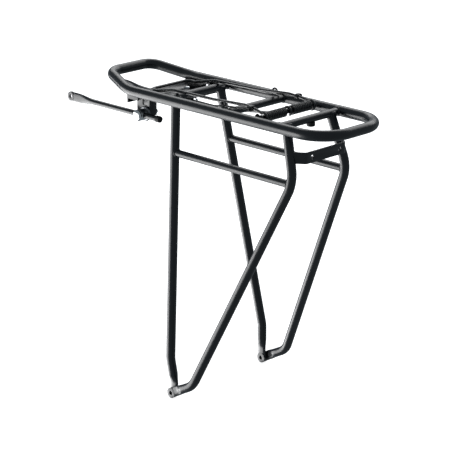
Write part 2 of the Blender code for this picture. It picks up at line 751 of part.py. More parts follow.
def build_catch(side, look):
    held, eye, run = catch_path(SIDES[side])
    path = sweep(held + eye + run, CATCH_R, sides=8, across=(0, 1, 0))
    return finish_mesh(f"{side}_catch_wire", path, look)


def build_catch_cap(side, look):
    end = catch_path(SIDES[side])[2][-1]
    profile = [(0.4 * MM, 2.6 * MM), (1.0 * MM, 3.2 * MM), (8.9 * MM, 3.2 * MM), (10.1 * MM, 2.2 * MM)]
    return turned(f"{side}_catch_cap", profile, look, tuple(end), "X", -1, 14)


def build_clip(side, look):
    """Band that binds the hoop arm and the catch wire together."""
    sign = SIDES[side]
    first, last = sorted(sign * y for y in CLIP_Y)
    clip = finish_mesh(f"{side}_flap_clip", prism(slot_outline(first, last, CLIP_Z, CLIP_R), "X", *CLIP_X), look)
    cut(clip, sweep(arm_path(sign), WIRE_R + GAP, sides=10, across=(0.02, 0.55, 1)), f"{side}_clip_arm")
    held, _, _ = catch_path(sign)
    cut(clip, sweep(held, CATCH_R + GAP, sides=10, across=(0, 1, 0)), f"{side}_clip_wire")
    return clip


def build_pad(side, look):
    sign = SIDES[side]
    top = TOP_Z - WIRE_R - 0.2 * MM
    low = PLATE_TOP + GAP
    outline = box_outline(-90 * MM, -68 * MM, sign * 29.5 * MM, sign * 45.5 * MM)
    pad = finish_mesh(f"{side}_rest_pad", prism(outline, "Z", low, top), look)
    bevel = pad.modifiers.new("soft_edges", "BEVEL")
    bevel.width = 1.0 * MM
    bevel.segments = 2
    return pad


def build_cable_plug(look):
    profile = [(0, 5.4 * MM), (3.4 * MM, 5.4 * MM), (4.6 * MM, 4.4 * MM)]
    centre = (REAR_CROSS_X, 4 * MM, TOP_Z - CROSS_R - 0.1 * MM)
    plug = turned("cable_plug", profile, look, centre, "Z", -1, 20)
    ends = [(REAR_CROSS_X, -20 * MM, TOP_Z), (REAR_CROSS_X, 20 * MM, TOP_Z)]
    cut(plug, sweep(ends, CROSS_R + GAP, sides=16), "plug_saddle")
    return plug


def main():
    clear_scene()
    black = material("black_paint", (0.022, 0.024, 0.028), 0.34, 0.0)
    looks = {
        "steel": material("steel", (0.42, 0.42, 0.43), 0.35, 1.0),
        "chrome": material("chrome", (0.85, 0.86, 0.87), 0.12, 1.0),
    }
    dark_wire = material("dark_wire", (0.10, 0.10, 0.11), 0.42, 1.0)
    rubber = material("rubber", (0.014, 0.014, 0.014), 0.75, 0.0)
    build_ring(black)
    build_cross_tube("front_cross_tube", FRONT_CROSS_X, black)
    build_cross_tube("middle_cross_tube", MIDDLE_CROSS_X, black)
    build_cross_tube("rear_cross_tube", REAR_CROSS_X, black)
    build_light_bracket(black)
    build_front_plate(black)
    flap_pivot = pivot_at("flap_pivot", (HINGE_X, 0, HINGE_Z))
    for side, sign in SIDES.items():
        build_front_leg(side, black)
        build_rear_leg(side, black)
        build_side_bar(side, black)
        build_strut_bracket(side, black)
        build_bracket_fasteners(side, looks["steel"])
        clamp = build_clamp(side, looks)
        strut = [build_strut(side, black), build_end_cap(side, rubber)]
        pivot = pivot_at(f"{side}_clamp_pivot", (CLAMP_X, sign * ROD_Y, CLAMP_Z))
        hang_on(pivot, clamp + strut)
        pivot.rotation_euler = (0, STRUT_TILT[side], 0)
        build_spring(side, dark_wire)
        hang_on(flap_pivot, [build_catch(side, dark_wire), build_catch_cap(side, rubber)])
        hang_on(flap_pivot, [build_tail_cap(side, rubber)])
        hang_on(flap_pivot, [build_clip(side, dark_wire)])
        build_pad(side, rubber)
    build_hinge_rod(dark_wire)
    build_stay(dark_wire)
    hang_on(flap_pivot, [build_hoop(dark_wire)])
    build_cable_plug(rubber)


main()
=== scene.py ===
import math

import bmesh
import bpy
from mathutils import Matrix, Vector


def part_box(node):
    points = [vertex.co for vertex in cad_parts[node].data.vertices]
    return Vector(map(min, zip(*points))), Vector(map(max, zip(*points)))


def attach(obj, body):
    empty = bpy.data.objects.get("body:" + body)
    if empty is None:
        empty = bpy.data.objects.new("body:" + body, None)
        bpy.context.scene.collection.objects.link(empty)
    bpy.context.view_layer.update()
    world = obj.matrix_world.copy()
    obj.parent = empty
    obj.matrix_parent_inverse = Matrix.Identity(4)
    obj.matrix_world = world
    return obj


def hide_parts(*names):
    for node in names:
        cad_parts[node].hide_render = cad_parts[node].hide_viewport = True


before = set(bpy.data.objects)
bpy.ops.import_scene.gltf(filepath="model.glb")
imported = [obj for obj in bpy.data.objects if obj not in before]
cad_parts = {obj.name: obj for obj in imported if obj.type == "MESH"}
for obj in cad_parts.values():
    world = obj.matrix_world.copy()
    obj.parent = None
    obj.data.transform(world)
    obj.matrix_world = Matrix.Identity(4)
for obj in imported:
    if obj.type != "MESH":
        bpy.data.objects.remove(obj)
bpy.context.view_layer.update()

MM = 0.001
SIDES = {"left": -1, "right": 1}


def middle(node):
    low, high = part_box(node)
    return (low + high) / 2


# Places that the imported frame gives
MIDDLE_CROSS_X, _, TOP_Z = middle("middle_cross_tube")
FRONT_CROSS_X = middle("front_cross_tube").x
REAR_CROSS_X = middle("rear_cross_tube").x
HINGE_X, _, HINGE_Z = middle("flap_hinge_rod")
CLAMP_X, _, CLAMP_Z = middle("left_clamp_washer")
PLATE_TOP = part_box("front_plate")[1].z
FLOOR_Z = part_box("left_rear_leg")[0].z

# Tube sizes and the routes of their axes; the rear leg's knee and heel are x and z
RING_R = 6.86 * MM
RAIL_Y = 57.0 * MM
REAR_X = 232.5 * MM
REAR_BEND_R = 41.0 * MM
NOSE_BEND_X = -110.5 * MM
NOSE_X = -167.5 * MM
NOSE_Y = 37.5 * MM
NOSE_RISE = 11.4 * MM
NOSE_CORNER_R = 22.0 * MM
NOSE_BEND_R = 70.0 * MM
CROSS_R = 5.0 * MM
LEG_R = 6.05 * MM
LEG_TOP_Y = 40.0 * MM
SPLAY = 0.138
FRONT_LEG_LEAN = 0.1028
FRONT_LEG_FOOT_X = 1.5 * MM
ANKLE_Z = 47.0 * MM
ANKLE_END_Z = 14.0 * MM
ANKLE_BENDS = [40.0 * MM, 14.0 * MM]
REAR_KNEE = (175.3 * MM, 317.0 * MM)
REAR_HEEL = (39.5 * MM, 21.5 * MM)
KNEE_R = 45.0 * MM
HEEL_END_X = 15.0 * MM
HEEL_TUCK = 1.5 * MM
HEEL_BENDS = [30.0 * MM, 8.0 * MM]
BAR_R = 4.85 * MM
BAR_Z = 314.0 * MM

# Feet
FOOT_Y = 85.5 * MM
FOOT_GAP = 0.3 * MM
EYELET_R = 6.95 * MM
EYELET_HOLE_R = 2.75 * MM
INNER_FOOT = 4.8 * MM
OUTER_FOOT = 4.4 * MM
FOOT_HALF_WIDTH = 6.6 * MM
FOOT_FLAT = 12.0 * MM
FRONT_PRESS = 27.0 * MM
REAR_PRESS = 26.0 * MM

# Weld beads; the plate's runs are name, first x, last x and y
WELD_R = 1.15 * MM
BAR_WELD_R = 1.0 * MM
PLATE_WELD_R = 1.5 * MM
WELD_PITCH = 1.5 * MM
WELD_RIPPLE = 0.10
PLATE_WELDS = (
    ("front", -115.0 * MM, -101.0 * MM, 52.4 * MM),
    ("back", -70.0 * MM, -52.0 * MM, 51.0 * MM),
)
PLATE_WELD_RISE = 0.9 * MM

# Front plate, brackets and clamps; the window is x, x, z and z, the bolt x and y
PLATE_T = 3.0 * MM
PLATE_X = (-118.2 * MM, -46.0 * MM)
PLATE_NECK_X = -97.0 * MM
PLATE_Y = (52.0 * MM, 49.0 * MM)
RIM_T = 2.2 * MM
FRONT_RIM_Z = 365.0 * MM
SIDE_RIM_Z = 370.5 * MM
CENTRE_SLOT_X = 10.0 * MM
CENTRE_SLOT_Y = 13.0 * MM
CENTRE_SLOT_R = 3.0 * MM
SIDE_SLOT_X = (4.0 * MM, 14.0 * MM)
SIDE_SLOT_Y = 36.0 * MM
SIDE_SLOT_R = 3.5 * MM
SHEET_T = 2.0 * MM
WEB_Y = 36.5 * MM
WEB_X = (-115.5 * MM, -91.8 * MM)
SHELF_X = (-109.0 * MM, -77.0 * MM)
SHELF_Y = 14.0 * MM
FLANGE_Y = 23.6 * MM
FLANGE_Z = 347.5 * MM
WINDOW = (-105.0 * MM, -95.4 * MM, 361.4 * MM, 371.0 * MM)
WINDOW_CORNER_R = 1.4 * MM
BRACKET_BOLT = (-84.0 * MM, 25.0 * MM)
BOLT_HOLE_R = 2.8 * MM
BOLT_R = 2.4 * MM
BOLT_HEAD_R = 4.55 * MM
BOLT_HEAD_RISE = 2.55 * MM
RECESS_LONG = 1.9 * MM
RECESS_SHORT = 0.4 * MM
RECESS_FLOOR = 1.2 * MM
NUT_R = 4.6 * MM
NUT_BORE_R = 2.5 * MM
ROD_Y = 44.5 * MM
ROD_R = 3.6 * MM
SPOON_X = -238.5 * MM
SPOON_R = 6.4 * MM
SPOON_END = 46.0 * MM
SPOON_TAPER = 30.0 * MM
SPOON_HALF_T = 1.5 * MM
TONGUE_HALF_T = 1.6 * MM
ROD_END_X = -64.5 * MM
END_CAP_X = (-70.0 * MM, -62.4 * MM)
END_CAP_R = 4.35 * MM
END_CAP_LIP = 1.1 * MM
WASHER_R = 10.1 * MM
WASHER_T = 2.4 * MM
WASHER_TEETH = 36
TOOTH_DEPTH = 0.35 * MM
BARREL_R = 7.5 * MM
BARREL_PAST_ROD = 5.2 * MM
BARREL_EDGE = 0.5 * MM
DOME_R = 7.7 * MM
DOME_BAND = 2.2 * MM
DOME_RISE = 2.5 * MM
CLAMP_NUT_R = 4.55 * MM
CLAMP_NUT_T = 5.0 * MM
SHANK_END_Y = 17.0 * MM
SHANK_R = 2.85 * MM
STRUT_TILT = {"left": 0.0, "right": math.radians(1.5)}

# Sprung flap; the catch wire's eye is x, z and radius
HINGE_R = 3.0 * MM
HINGE_END_Y = 46.2 * MM
WIRE_R = 1.98 * MM
ARM_Y = 34.0 * MM
HOOP_EYE_R = HINGE_R + 2.5 * MM
HOOP_EYE_Y = 43.4 * MM
HOOP_EYE_DRIFT = 0.6 * MM
HOOP_EYE_TURN = (-120, 125)
TAIL_RUN = Vector((-0.866, 0, 0.5))
TAIL_LENGTH = 6.0 * MM
TAIL_CAP_R = 2.75 * MM
TAIL_CAP_GAP = 0.35 * MM
TAIL_CAP_LENGTH = 4.8 * MM
STAY_R = 1.76 * MM
STAY_EYE_R = HINGE_R + 2.1 * MM
STAY_EYE_Y = 0.6 * MM
STAY_EYE_DRIFT = -1.6 * MM
STAY_EYE_TURN = (-60, 236)
STAY_END_X = 28.0 * MM
STAY_END_Z = 371.5 * MM
HOOP_X = -92.5 * MM
HOOP_Z = TOP_Z + 0.2 * MM
SPRING_WIRE_R = 1.16 * MM
SPRING_R = 5.1 * MM
SPRING_Y = (5.4 * MM, 38.8 * MM)
SPRING_TURNS = 11
SPRING_STEPS = 28
SPRING_TAIL = (2.0 * MM, 4.0 * MM, 6.8 * MM)
CATCH_R = 1.28 * MM
CATCH_Y = 44.8 * MM
CATCH_EYE = (54.5 * MM, 393.9 * MM, 2.9 * MM)
CATCH_DRIFT = 2.9 * MM
CLIP_X = (94.8 * MM, 101.2 * MM)
CLIP_Y = (41.0 * MM, 44.8 * MM)
CLIP_Z = 394.9 * MM
CLIP_WIRE_R = 0.72 * MM
CLIP_TURNS = 4

# Rear light strip
LIGHT_X = 183.5 * MM
LIGHT_Z = (339.5 * MM, 354.0 * MM)
LIGHT_Y = 35.0 * MM
LIGHT_T = 2.2 * MM
LIGHT_HOLE_Y = 25.0 * MM
LIGHT_HOLE_R = 2.75 * MM
LIGHT_BEND_R = 4.0 * MM

# Cable plug
PLUG_TOP = -0.6 * MM
PLUG_LIP = 1.4 * MM

# Stage; each soft box is name, azimuth, elevation, distance, width, height and radiance
AIM_HEIGHT = 0.2
FLOOR_HALF = 12.0
FLOOR_T = 0.05
FLOOR_DROP = 0.0005
FLOOR_GLOW = 0.9
AIR_COLOUR = (0.82, 0.93, 1.0, 1.0)
AIR_STRENGTH = 0.26
SOFT_BOXES = (
    ("left_box", -142, -18, 2.4, 2.6, 1.8, 5.6),
    ("low_left_box", -174, -38, 2.4, 1.5, 1.2, 3.2),
    ("top_box", 116, 42, 2.2, 3.4, 1.2, 2.6),
)

# Camera
CAMERA_AT = (1.6103, -1.6143, 0.9652)
CAMERA_TURN = (1.2509, -0.0005, 0.7804)
CAMERA_LENS = 146.0


# Materials

def new_material(name):
    made = bpy.data.materials.new(name)
    made.use_nodes = True
    tree = made.node_tree
    shader = tree.nodes["Principled BSDF"]
    spot = tree.nodes.new("ShaderNodeTexCoord").outputs["Object"]
    return made, tree, shader, spot


def noise(tree, spot, scale, detail=3.0, roughness=0.55, distortion=0.0):
    node = tree.nodes.new("ShaderNodeTexNoise")
    node.inputs["Scale"].default_value = scale
    node.inputs["Detail"].default_value = detail
    node.inputs["Roughness"].default_value = roughness
    node.inputs["Distortion"].default_value = distortion
    tree.links.new(spot, node.inputs["Vector"])
    return node.outputs["Fac"]


def spread(tree, value, low, high, to_low, to_high):
    """A value between low and high, carried over to the range to_low to to_high."""
    node = tree.nodes.new("ShaderNodeMapRange")
    node.interpolation_type = "SMOOTHSTEP"
    limits = {"From Min": low, "From Max": high, "To Min": to_low, "To Max": to_high}
    for label, number in limits.items():
        node.inputs[label].default_value = number
    tree.links.new(value, node.inputs["Value"])
    return node.outputs["Result"]


def mixed(tree, share, first, second):
    """A colour between first and second, each a plain colour or another node's output."""
    node = tree.nodes.new("ShaderNodeMix")
    node.data_type = "RGBA"
    tree.links.new(share, node.inputs["Factor"])
    for socket, value in ((node.inputs["A"], first), (node.inputs["B"], second)):
        if isinstance(value, tuple):
            socket.default_value = (*value, 1.0)
        else:
            tree.links.new(value, socket)
    return node.outputs["Result"]


def combined(tree, operation, first, second):
    """One sum or product of two values, each a number or another node's output."""
    node = tree.nodes.new("ShaderNodeMath")
    node.operation = operation
    for socket, value in zip(node.inputs, (first, second)):
        if isinstance(value, (int, float)):
            socket.default_value = value
        else:
            tree.links.new(value, socket)
    return node.outputs[0]


def bump(tree, shader, heights):
    """Chain of bumps from (height, strength, depth) entries."""
    previous = None
    for height, strength, depth in heights:
        node = tree.nodes.new("ShaderNodeBump")
        node.inputs["Strength"].default_value = strength
        node.inputs["Distance"].default_value = depth
        tree.links.new(height, node.inputs["Height"])
        if previous:
            tree.links.new(previous, node.inputs["Normal"])
        previous = node.outputs["Normal"]
    tree.links.new(previous, shader.inputs["Normal"])


def upward(tree):
    """Share by which a surface faces up, where dust settles."""
    geometry = tree.nodes.new("ShaderNodeNewGeometry")
    parts = tree.nodes.new("ShaderNodeSeparateXYZ")
    tree.links.new(geometry.outputs["Normal"], parts.inputs["Vector"])
    return spread(tree, parts.outputs["Z"], 0.35, 1.0, 0.0, 1.0)


def powder_coat():
    """Satin black powder coat: fine orange peel, slight unevenness, a little dust and small scuffs."""
    made, tree, shader, spot = new_material("powder_coat")
    cloud = noise(tree, spot, 26, 4)
    peel = noise(tree, spot, 620, 2, 0.5)
    grain = noise(tree, spot, 2600, 2, 0.6)
    scuff = spread(tree, noise(tree, spot, 95, 6, 0.72, 0.8), 0.66, 0.74, 0.0, 1.0)
    tone = mixed(tree, cloud, (0.0050, 0.0066, 0.0092), (0.0088, 0.0112, 0.0150))
    dust = combined(tree, "MULTIPLY", upward(tree), spread(tree, grain, 0.45, 0.85, 0.0, 0.25))
    pale = (0.035, 0.036, 0.038)
    tone = mixed(tree, dust, tone, pale)
    tone = mixed(tree, combined(tree, "MULTIPLY", scuff, 0.35), tone, pale)
    tree.links.new(tone, shader.inputs["Base Color"])
    sheen = spread(tree, cloud, 0.3, 0.7, 0.25, 0.33)
    rough = combined(tree, "ADD", sheen, combined(tree, "MULTIPLY", scuff, 0.10))
    tree.links.new(rough, shader.inputs["Roughness"])
    shader.inputs["Specular IOR Level"].default_value = 0.5
    bump(tree, shader, [(peel, 0.16, 0.00022), (grain, 0.10, 0.00006)])
    return made


def coated_wire():
    """Black-dipped spring wire: glossier than the tubes, thin on the high spots."""
    made, tree, shader, spot = new_material("coated_wire")
    cloud = noise(tree, spot, 60, 5)
    grain = noise(tree, spot, 1500, 3, 0.6)
    worn = spread(tree, noise(tree, spot, 210, 6, 0.7), 0.60, 0.70, 0.0, 1.0)
    tone = mixed(tree, cloud, (0.006, 0.0065, 0.008), (0.014, 0.0145, 0.016))
    tone = mixed(tree, combined(tree, "MULTIPLY", worn, 0.5), tone, (0.10, 0.10, 0.105))
    tree.links.new(tone, shader.inputs["Base Color"])
    tree.links.new(spread(tree, cloud, 0.3, 0.7, 0.20, 0.30), shader.inputs["Roughness"])
    tree.links.new(combined(tree, "MULTIPLY", worn, 0.5), shader.inputs["Metallic"])
    shader.inputs["Specular IOR Level"].default_value = 0.7
    bump(tree, shader, [(grain, 0.14, 0.00008)])
    return made


def zinc():
    """Zinc-plated steel: spangled, slightly uneven and rubbed."""
    made, tree, shader, spot = new_material("zinc_plate")
    cloud = noise(tree, spot, 140, 5)
    grain = noise(tree, spot, 1900, 3, 0.65)
    tone = mixed(tree, cloud, (0.15, 0.155, 0.165), (0.30, 0.305, 0.315))
    tree.links.new(tone, shader.inputs["Base Color"])
    shader.inputs["Metallic"].default_value = 1.0
    tree.links.new(spread(tree, cloud, 0.3, 0.7, 0.24, 0.42), shader.inputs["Roughness"])
    bump(tree, shader, [(grain, 0.12, 0.00006)])
    return made


def bright_chrome():
    """Polished chrome with faint smears and hairline marks."""
    made, tree, shader, spot = new_material("bright_chrome")
    smear = noise(tree, spot, 90, 5, 0.6, 1.2)
    hair = noise(tree, spot, 2400, 2, 0.5)
    tone = mixed(tree, smear, (0.62, 0.63, 0.65), (0.76, 0.765, 0.77))
    tree.links.new(tone, shader.inputs["Base Color"])
    shader.inputs["Metallic"].default_value = 1.0
    tree.links.new(spread(tree, smear, 0.35, 0.7, 0.07, 0.17), shader.inputs["Roughness"])
    bump(tree, shader, [(hair, 0.03, 0.00002)])
    return made


def black_rubber():
    """Matt moulded rubber with a fine grain and a little bloom."""
    made, tree, shader, spot = new_material("black_rubber")
    cloud = noise(tree, spot, 110, 4)
    grain = noise(tree, spot, 1700, 3, 0.7)
    tone = mixed(tree, cloud, (0.005, 0.005, 0.0055), (0.010, 0.010, 0.011))
    tree.links.new(tone, shader.inputs["Base Color"])
    tree.links.new(spread(tree, cloud, 0.3, 0.7, 0.58, 0.78), shader.inputs["Roughness"])
    shader.inputs["Specular IOR Level"].default_value = 0.4
    bump(tree, shader, [(grain, 0.3, 0.00010)])
    return made


# Mesh helpers

def arc_between(start, corner, end, radius, steps):
    """Points of the round bend of a tube where two straight runs meet."""
    to_start = (start - corner).normalized()
    to_end = (end - corner).normalized()
    half = to_start.angle(to_end) / 2
    reach = radius / math.tan(half)
    centre = corner + (to_start + to_end).normalized() * (radius / math.sin(half))
    first = corner + to_start * reach - centre
    last = corner + to_end * reach - centre
    turn = math.pi - 2 * half
    points = []
    for step in range(steps + 1):
        share = step / steps
        blend = first * math.sin((1 - share) * turn) + last * math.sin(share * turn)
        points.append(centre + blend / math.sin(turn))
    return points


def bent_path(corners, radii, steps=14):
    """An open route with a round bend of the given radius at each inner corner."""
    corners = [Vector(corner) for corner in corners]
    points = [corners[0]]
    for index, radius in enumerate(radii, start=1):
        points += arc_between(corners[index - 1], corners[index], corners[index + 1], radius, steps)
    points.append(corners[-1])
    return points


def closed_path(corners, radii, steps=20):
    """A closed route with a round bend of the given radius at every corner."""
    corners = [Vector(corner) for corner in corners]
    points = []
    for index, radius in enumerate(radii):
        following = corners[(index + 1) % len(corners)]
        points += arc_between(corners[index - 1], corners[index], following, radius, steps)
    return points


def dense(points, spacing):
    """The same route with extra stations along its long runs."""
    result = [points[0]]
    for point in points[1:]:
        start = result[-1]
        steps = max(1, round((point - start).length / spacing))
        result += [start.lerp(point, step / steps) for step in range(1, steps + 1)]
    return result


def route_length(points):
    return sum((b - a).length for a, b in zip(points, points[1:]))


def eased(share):
    """A share that is cut off at 0 and 1 and leaves and reaches them gently."""
    share = min(max(share, 0.0), 1.0)
    return share * share * (3 - 2 * share)


def sweep(points, radius, sides=32, closed=False, across=(0, 0, 1), shape=None, dome=0.0):
    """A bar along points, round unless shape(distance) gives its half width and half thickness.

    The thickness lies along across, and dome rounds the two ends off over that distance.
    """
    points = [Vector(point) for point in points]
    count = len(points)
    lengths = [0.0]
    for before, after in zip(points, points[1:]):
        lengths.append(lengths[-1] + (after - before).length)
    stations = []
    for index, point in enumerate(points):
        before = points[index - 1] if closed or index else point
        after = points[(index + 1) % count] if closed or index < count - 1 else point
        along = (after - before).normalized()
        wide, thick = shape(lengths[index]) if shape else (radius, radius)
        stations.append((point, along, wide, thick))
    if dome:
        stations = end_rings(stations[0], -dome)[::-1] + stations + end_rings(stations[-1], dome)
    bm = bmesh.new()
    rings = []
    for point, along, wide, thick in stations:
        thick_axis = Vector(across)
        thick_axis = (thick_axis - along * thick_axis.dot(along)).normalized()
        wide_axis = along.cross(thick_axis)
        ring = []
        for side in range(sides):
            angle = 2 * math.pi * (side + 0.5) / sides
            offset = wide_axis * wide * math.cos(angle) + thick_axis * thick * math.sin(angle)
            ring.append(bm.verts.new(point + offset))
        rings.append(ring)
    for index in range(len(rings) if closed else len(rings) - 1):
        ring = rings[index]
        following = rings[(index + 1) % len(rings)]
        for side in range(sides):
            other = (side + 1) % sides
            bm.faces.new((ring[side], ring[other], following[other], following[side]))
    if not closed:
        bm.faces.new(rings[0][::-1])
        bm.faces.new(rings[-1])
    return bm


def end_rings(station, reach):
    """Shrinking sections that round off the end of a swept bar."""
    point, along, wide, thick = station
    rings = []
    for degrees in (25, 50, 75):
        turn = math.radians(degrees)
        grow = math.cos(turn)
        rings.append((point + along * reach * math.sin(turn), along, wide * grow, thick * grow))
    return rings


def prism(outline, axis, start, end):
    """A closed outline of (a, b) points pushed along X, Y or Z from start to end."""
    bm = bmesh.new()

    def place(a, b, depth):
        if axis == "X":
            return (depth, a, b)
        if axis == "Y":
            return (a, depth, b)
        return (a, b, depth)

    low = [bm.verts.new(place(a, b, start)) for a, b in outline]
    high = [bm.verts.new(place(a, b, end)) for a, b in outline]
    bm.faces.new(low)
    bm.faces.new(high[::-1])
    for index in range(len(outline)):
        other = (index + 1) % len(outline)
        bm.faces.new((low[index], high[index], high[other], low[other]))
    return bm


def rounded_box(a0, a1, b0, b1, radius, steps=6):
    """Outline of a rectangle with round corners."""
    points = []
    for a, b, begin in ((a1 - radius, b1 - radius, 0), (a0 + radius, b1 - radius, 90),
                        (a0 + radius, b0 + radius, 180), (a1 - radius, b0 + radius, 270)):
        for step in range(steps + 1):
            turn = math.radians(begin + 90 * step / steps)
            points.append((a + radius * math.cos(turn), b + radius * math.sin(turn)))
    return points


def box_outline(a0, a1, b0, b1):
    """Outline of a rectangle."""
    return [(a0, b0), (a1, b0), (a1, b1), (a0, b1)]


def round_outline(a, b, radius, count=48):
    """Outline of a circle, or of a regular polygon when count is small."""
    turns = [2 * math.pi * index / count for index in range(count)]
    return [(a + radius * math.cos(turn), b + radius * math.sin(turn)) for turn in turns]


def slot_outline(a0, a1, b, radius, steps=14):
    """A long hole with round ends, from a0 to a1 along the first axis."""
    points = []
    for centre, begin in ((a1, -90), (a0, 90)):
        for step in range(steps + 1):
            turn = math.radians(begin + 180 * step / steps)
            points.append((centre + radius * math.cos(turn), b + radius * math.sin(turn)))
    return points


def turned(profile, centre, axis, sign=1, count=64, teeth=0, tooth_depth=0.0):
    """A round piece from (distance along the axis, radius) points; teeth notch its widest rings."""
    bm = bmesh.new()
    widest = max(radius for _, radius in profile)
    rings = []
    for along, radius in profile:
        toothed = teeth and radius > 0.9 * widest
        ring = []
        for index in range(count):
            turn = 2 * math.pi * index / count
            notch = tooth_depth * (0.5 + 0.5 * math.cos(turn * teeth)) if toothed else 0
            a = (radius - notch) * math.cos(turn)
            b = (radius - notch) * math.sin(turn)
            if axis == "Y":
                offset = Vector((a, sign * along, b))
            elif axis == "Z":
                offset = Vector((a, b, sign * along))
            else:
                offset = Vector((sign * along, a, b))
            ring.append(bm.verts.new(Vector(centre) + offset))
        rings.append(ring)
    for ring, following in zip(rings, rings[1:]):
        for index in range(count):
            other = (index + 1) % count
            bm.faces.new((ring[index], ring[other], following[other], following[index]))
    bm.faces.new(rings[0][::-1])
    bm.faces.new(rings[-1])
    return bm


def round_lip(end, radius, bend):
    """Profile points of a turned piece's rounded rim, with its flat face at end."""
    turns = [math.radians(15 * step) for step in range(7)]
    return [(end - bend + bend * math.sin(turn), radius - bend + bend * math.cos(turn)) for turn in turns]


def raw_object(name, bm):
    """An object of the mesh bm, in the scene; bm is used up."""
    bmesh.ops.recalc_face_normals(bm, faces=bm.faces)
    mesh = bpy.data.meshes.new(name)
    bm.to_mesh(mesh)
    bm.free()
    made = bpy.data.objects.new(name, mesh)
    bpy.context.scene.collection.objects.link(made)
    return made


def carve(bm, shapes, joined=()):
    """The mesh bm with the joined shapes welded on and the other shapes taken away."""
    base = raw_object("carving", bm)
    tools = []
    for operation, group in (("UNION", joined), ("DIFFERENCE", shapes)):
        for shape in group:
            tool = raw_object("tool", shape)
            boolean = base.modifiers.new("cut", "BOOLEAN")
            boolean.operation = operation
            boolean.object = tool
            tools.append(tool)
    result = evaluated_bmesh(base)
    for item in tools + [base]:
        bpy.data.objects.remove(item)
    return result


def evaluated_bmesh(item):
    """The mesh of an object once its modifiers have run."""
    graph = bpy.context.evaluated_depsgraph_get()
    mesh = bpy.data.meshes.new_from_object(item.evaluated_get(graph))
    bm = bmesh.new()
    bm.from_mesh(mesh)
    bpy.data.meshes.remove(mesh)
    return bm


def soften(bm, width, segments=3, angle=35.0):
    """Small round edges all over a sheet-metal piece."""
    item = raw_object("softening", bm)
    bevel = item.modifiers.new("edges", "BEVEL")
    bevel.width = width
    bevel.segments = segments
    bevel.limit_method = "ANGLE"
    bevel.angle_limit = math.radians(angle)
    bevel.use_clamp_overlap = True
    result = evaluated_bmesh(item)
    bpy.data.objects.remove(item)
    return result


def add_piece(name, bm, look, body, nodes=(), smooth=38.0):
    """A finished piece that rides on a body and stands for the named CAD nodes."""
    made = raw_object(name, bm)
    made.data.shade_smooth()
    made.data.set_sharp_from_angle(angle=math.radians(smooth))
    made.data.materials.append(look)
    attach(made, body)
    if nodes:
        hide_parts(*nodes)


def refine(node, bm, look, body, smooth=38.0):
    """A finished piece that stands for one CAD node and takes its name from it."""
    add_piece(f"{node}_fine", bm, look, body, [node], smooth)


# Platform, legs and bars

def side_y(height):
    """Distance of the leg plane from the middle, at a height."""
    return LEG_TOP_Y + SPLAY * (TOP_Z - height)


def front_leg_x(height):
    return FRONT_LEG_FOOT_X - FRONT_LEG_LEAN * height


def ring_path():
    rise = TOP_Z + NOSE_RISE
    left = [(NOSE_X, -NOSE_Y, rise), (NOSE_BEND_X, -RAIL_Y, TOP_Z), (REAR_X, -RAIL_Y, TOP_Z)]
    right = [(x, -y, z) for x, y, z in reversed(left)]
    radii = [NOSE_CORNER_R, NOSE_BEND_R, REAR_BEND_R]
    return closed_path(left + right, radii + radii[::-1])


def build_ring(paint):
    ring = sweep(ring_path(), RING_R, sides=48, closed=True)
    add_piece("platform_tube", ring, paint, "frame", ["platform_ring"])


def build_cross_tubes(paint):
    reach = RAIL_Y - 0.4 * RING_R
    for node, x in (("front_cross_tube", FRONT_CROSS_X), ("middle_cross_tube", MIDDLE_CROSS_X),
                    ("rear_cross_tube", REAR_CROSS_X)):
        tube = sweep([(x, -reach, TOP_Z), (x, reach, TOP_Z)], CROSS_R, sides=40)
        refine(node, tube, paint, "frame")


def pressed(start, end, wide, thick):
    """Section of a tube that is round until start and pressed flat from end on."""
    def shape(distance):
        share = eased((distance - start) / (end - start))
        return (LEG_R + (wide - LEG_R) * share, LEG_R + (thick - LEG_R) * share)
    return shape


def footed_leg(path, thickness, inner, sign, press_from):
    """A leg whose lower end is pressed flat, rounded and drilled for the foot bolt."""
    path = dense(path, 2.5 * MM)
    length = route_length(path)
    half = thickness / 2 - 0.1 * MM
    shape = pressed(length - press_from, length - FOOT_FLAT, FOOT_HALF_WIDTH, half)
    leg = sweep(path, LEG_R, sides=36, across=(0, 1, 0), shape=shape)
    low = sign * inner
    high = sign * (inner + thickness)
    eye = prism(round_outline(0, 0, EYELET_R), "Y", low, high)
    hole = prism(round_outline(0, 0, EYELET_HOLE_R), "Y", low - sign * 5 * MM, high + sign * 5 * MM)
    return soften(carve(leg, [hole], [eye]), 0.35 * MM, 2, 50)


def front_leg_route(sign):
    centre = FOOT_Y - INNER_FOOT / 2
    return bent_path([
        (front_leg_x(TOP_Z), sign * side_y(TOP_Z), TOP_Z),
        (front_leg_x(ANKLE_Z), sign * side_y(ANKLE_Z), ANKLE_Z),
        (0, sign * centre, ANKLE_END_Z),
        (0, sign * centre, 0),
    ], ANKLE_BENDS)


def rear_leg_route(sign):
    centre = FOOT_Y + FOOT_GAP + OUTER_FOOT / 2
    knee_x, knee_z = REAR_KNEE
    heel_x, heel_z = REAR_HEEL
    return bent_path([
        (REAR_CROSS_X, sign * side_y(TOP_Z), TOP_Z),
        (knee_x, sign * side_y(knee_z), knee_z),
        (heel_x, sign * (side_y(heel_z) - HEEL_TUCK), heel_z),
        (HEEL_END_X, sign * centre, heel_z * HEEL_END_X / heel_x),
        (0, sign * centre, 0),
    ], [KNEE_R, *HEEL_BENDS])


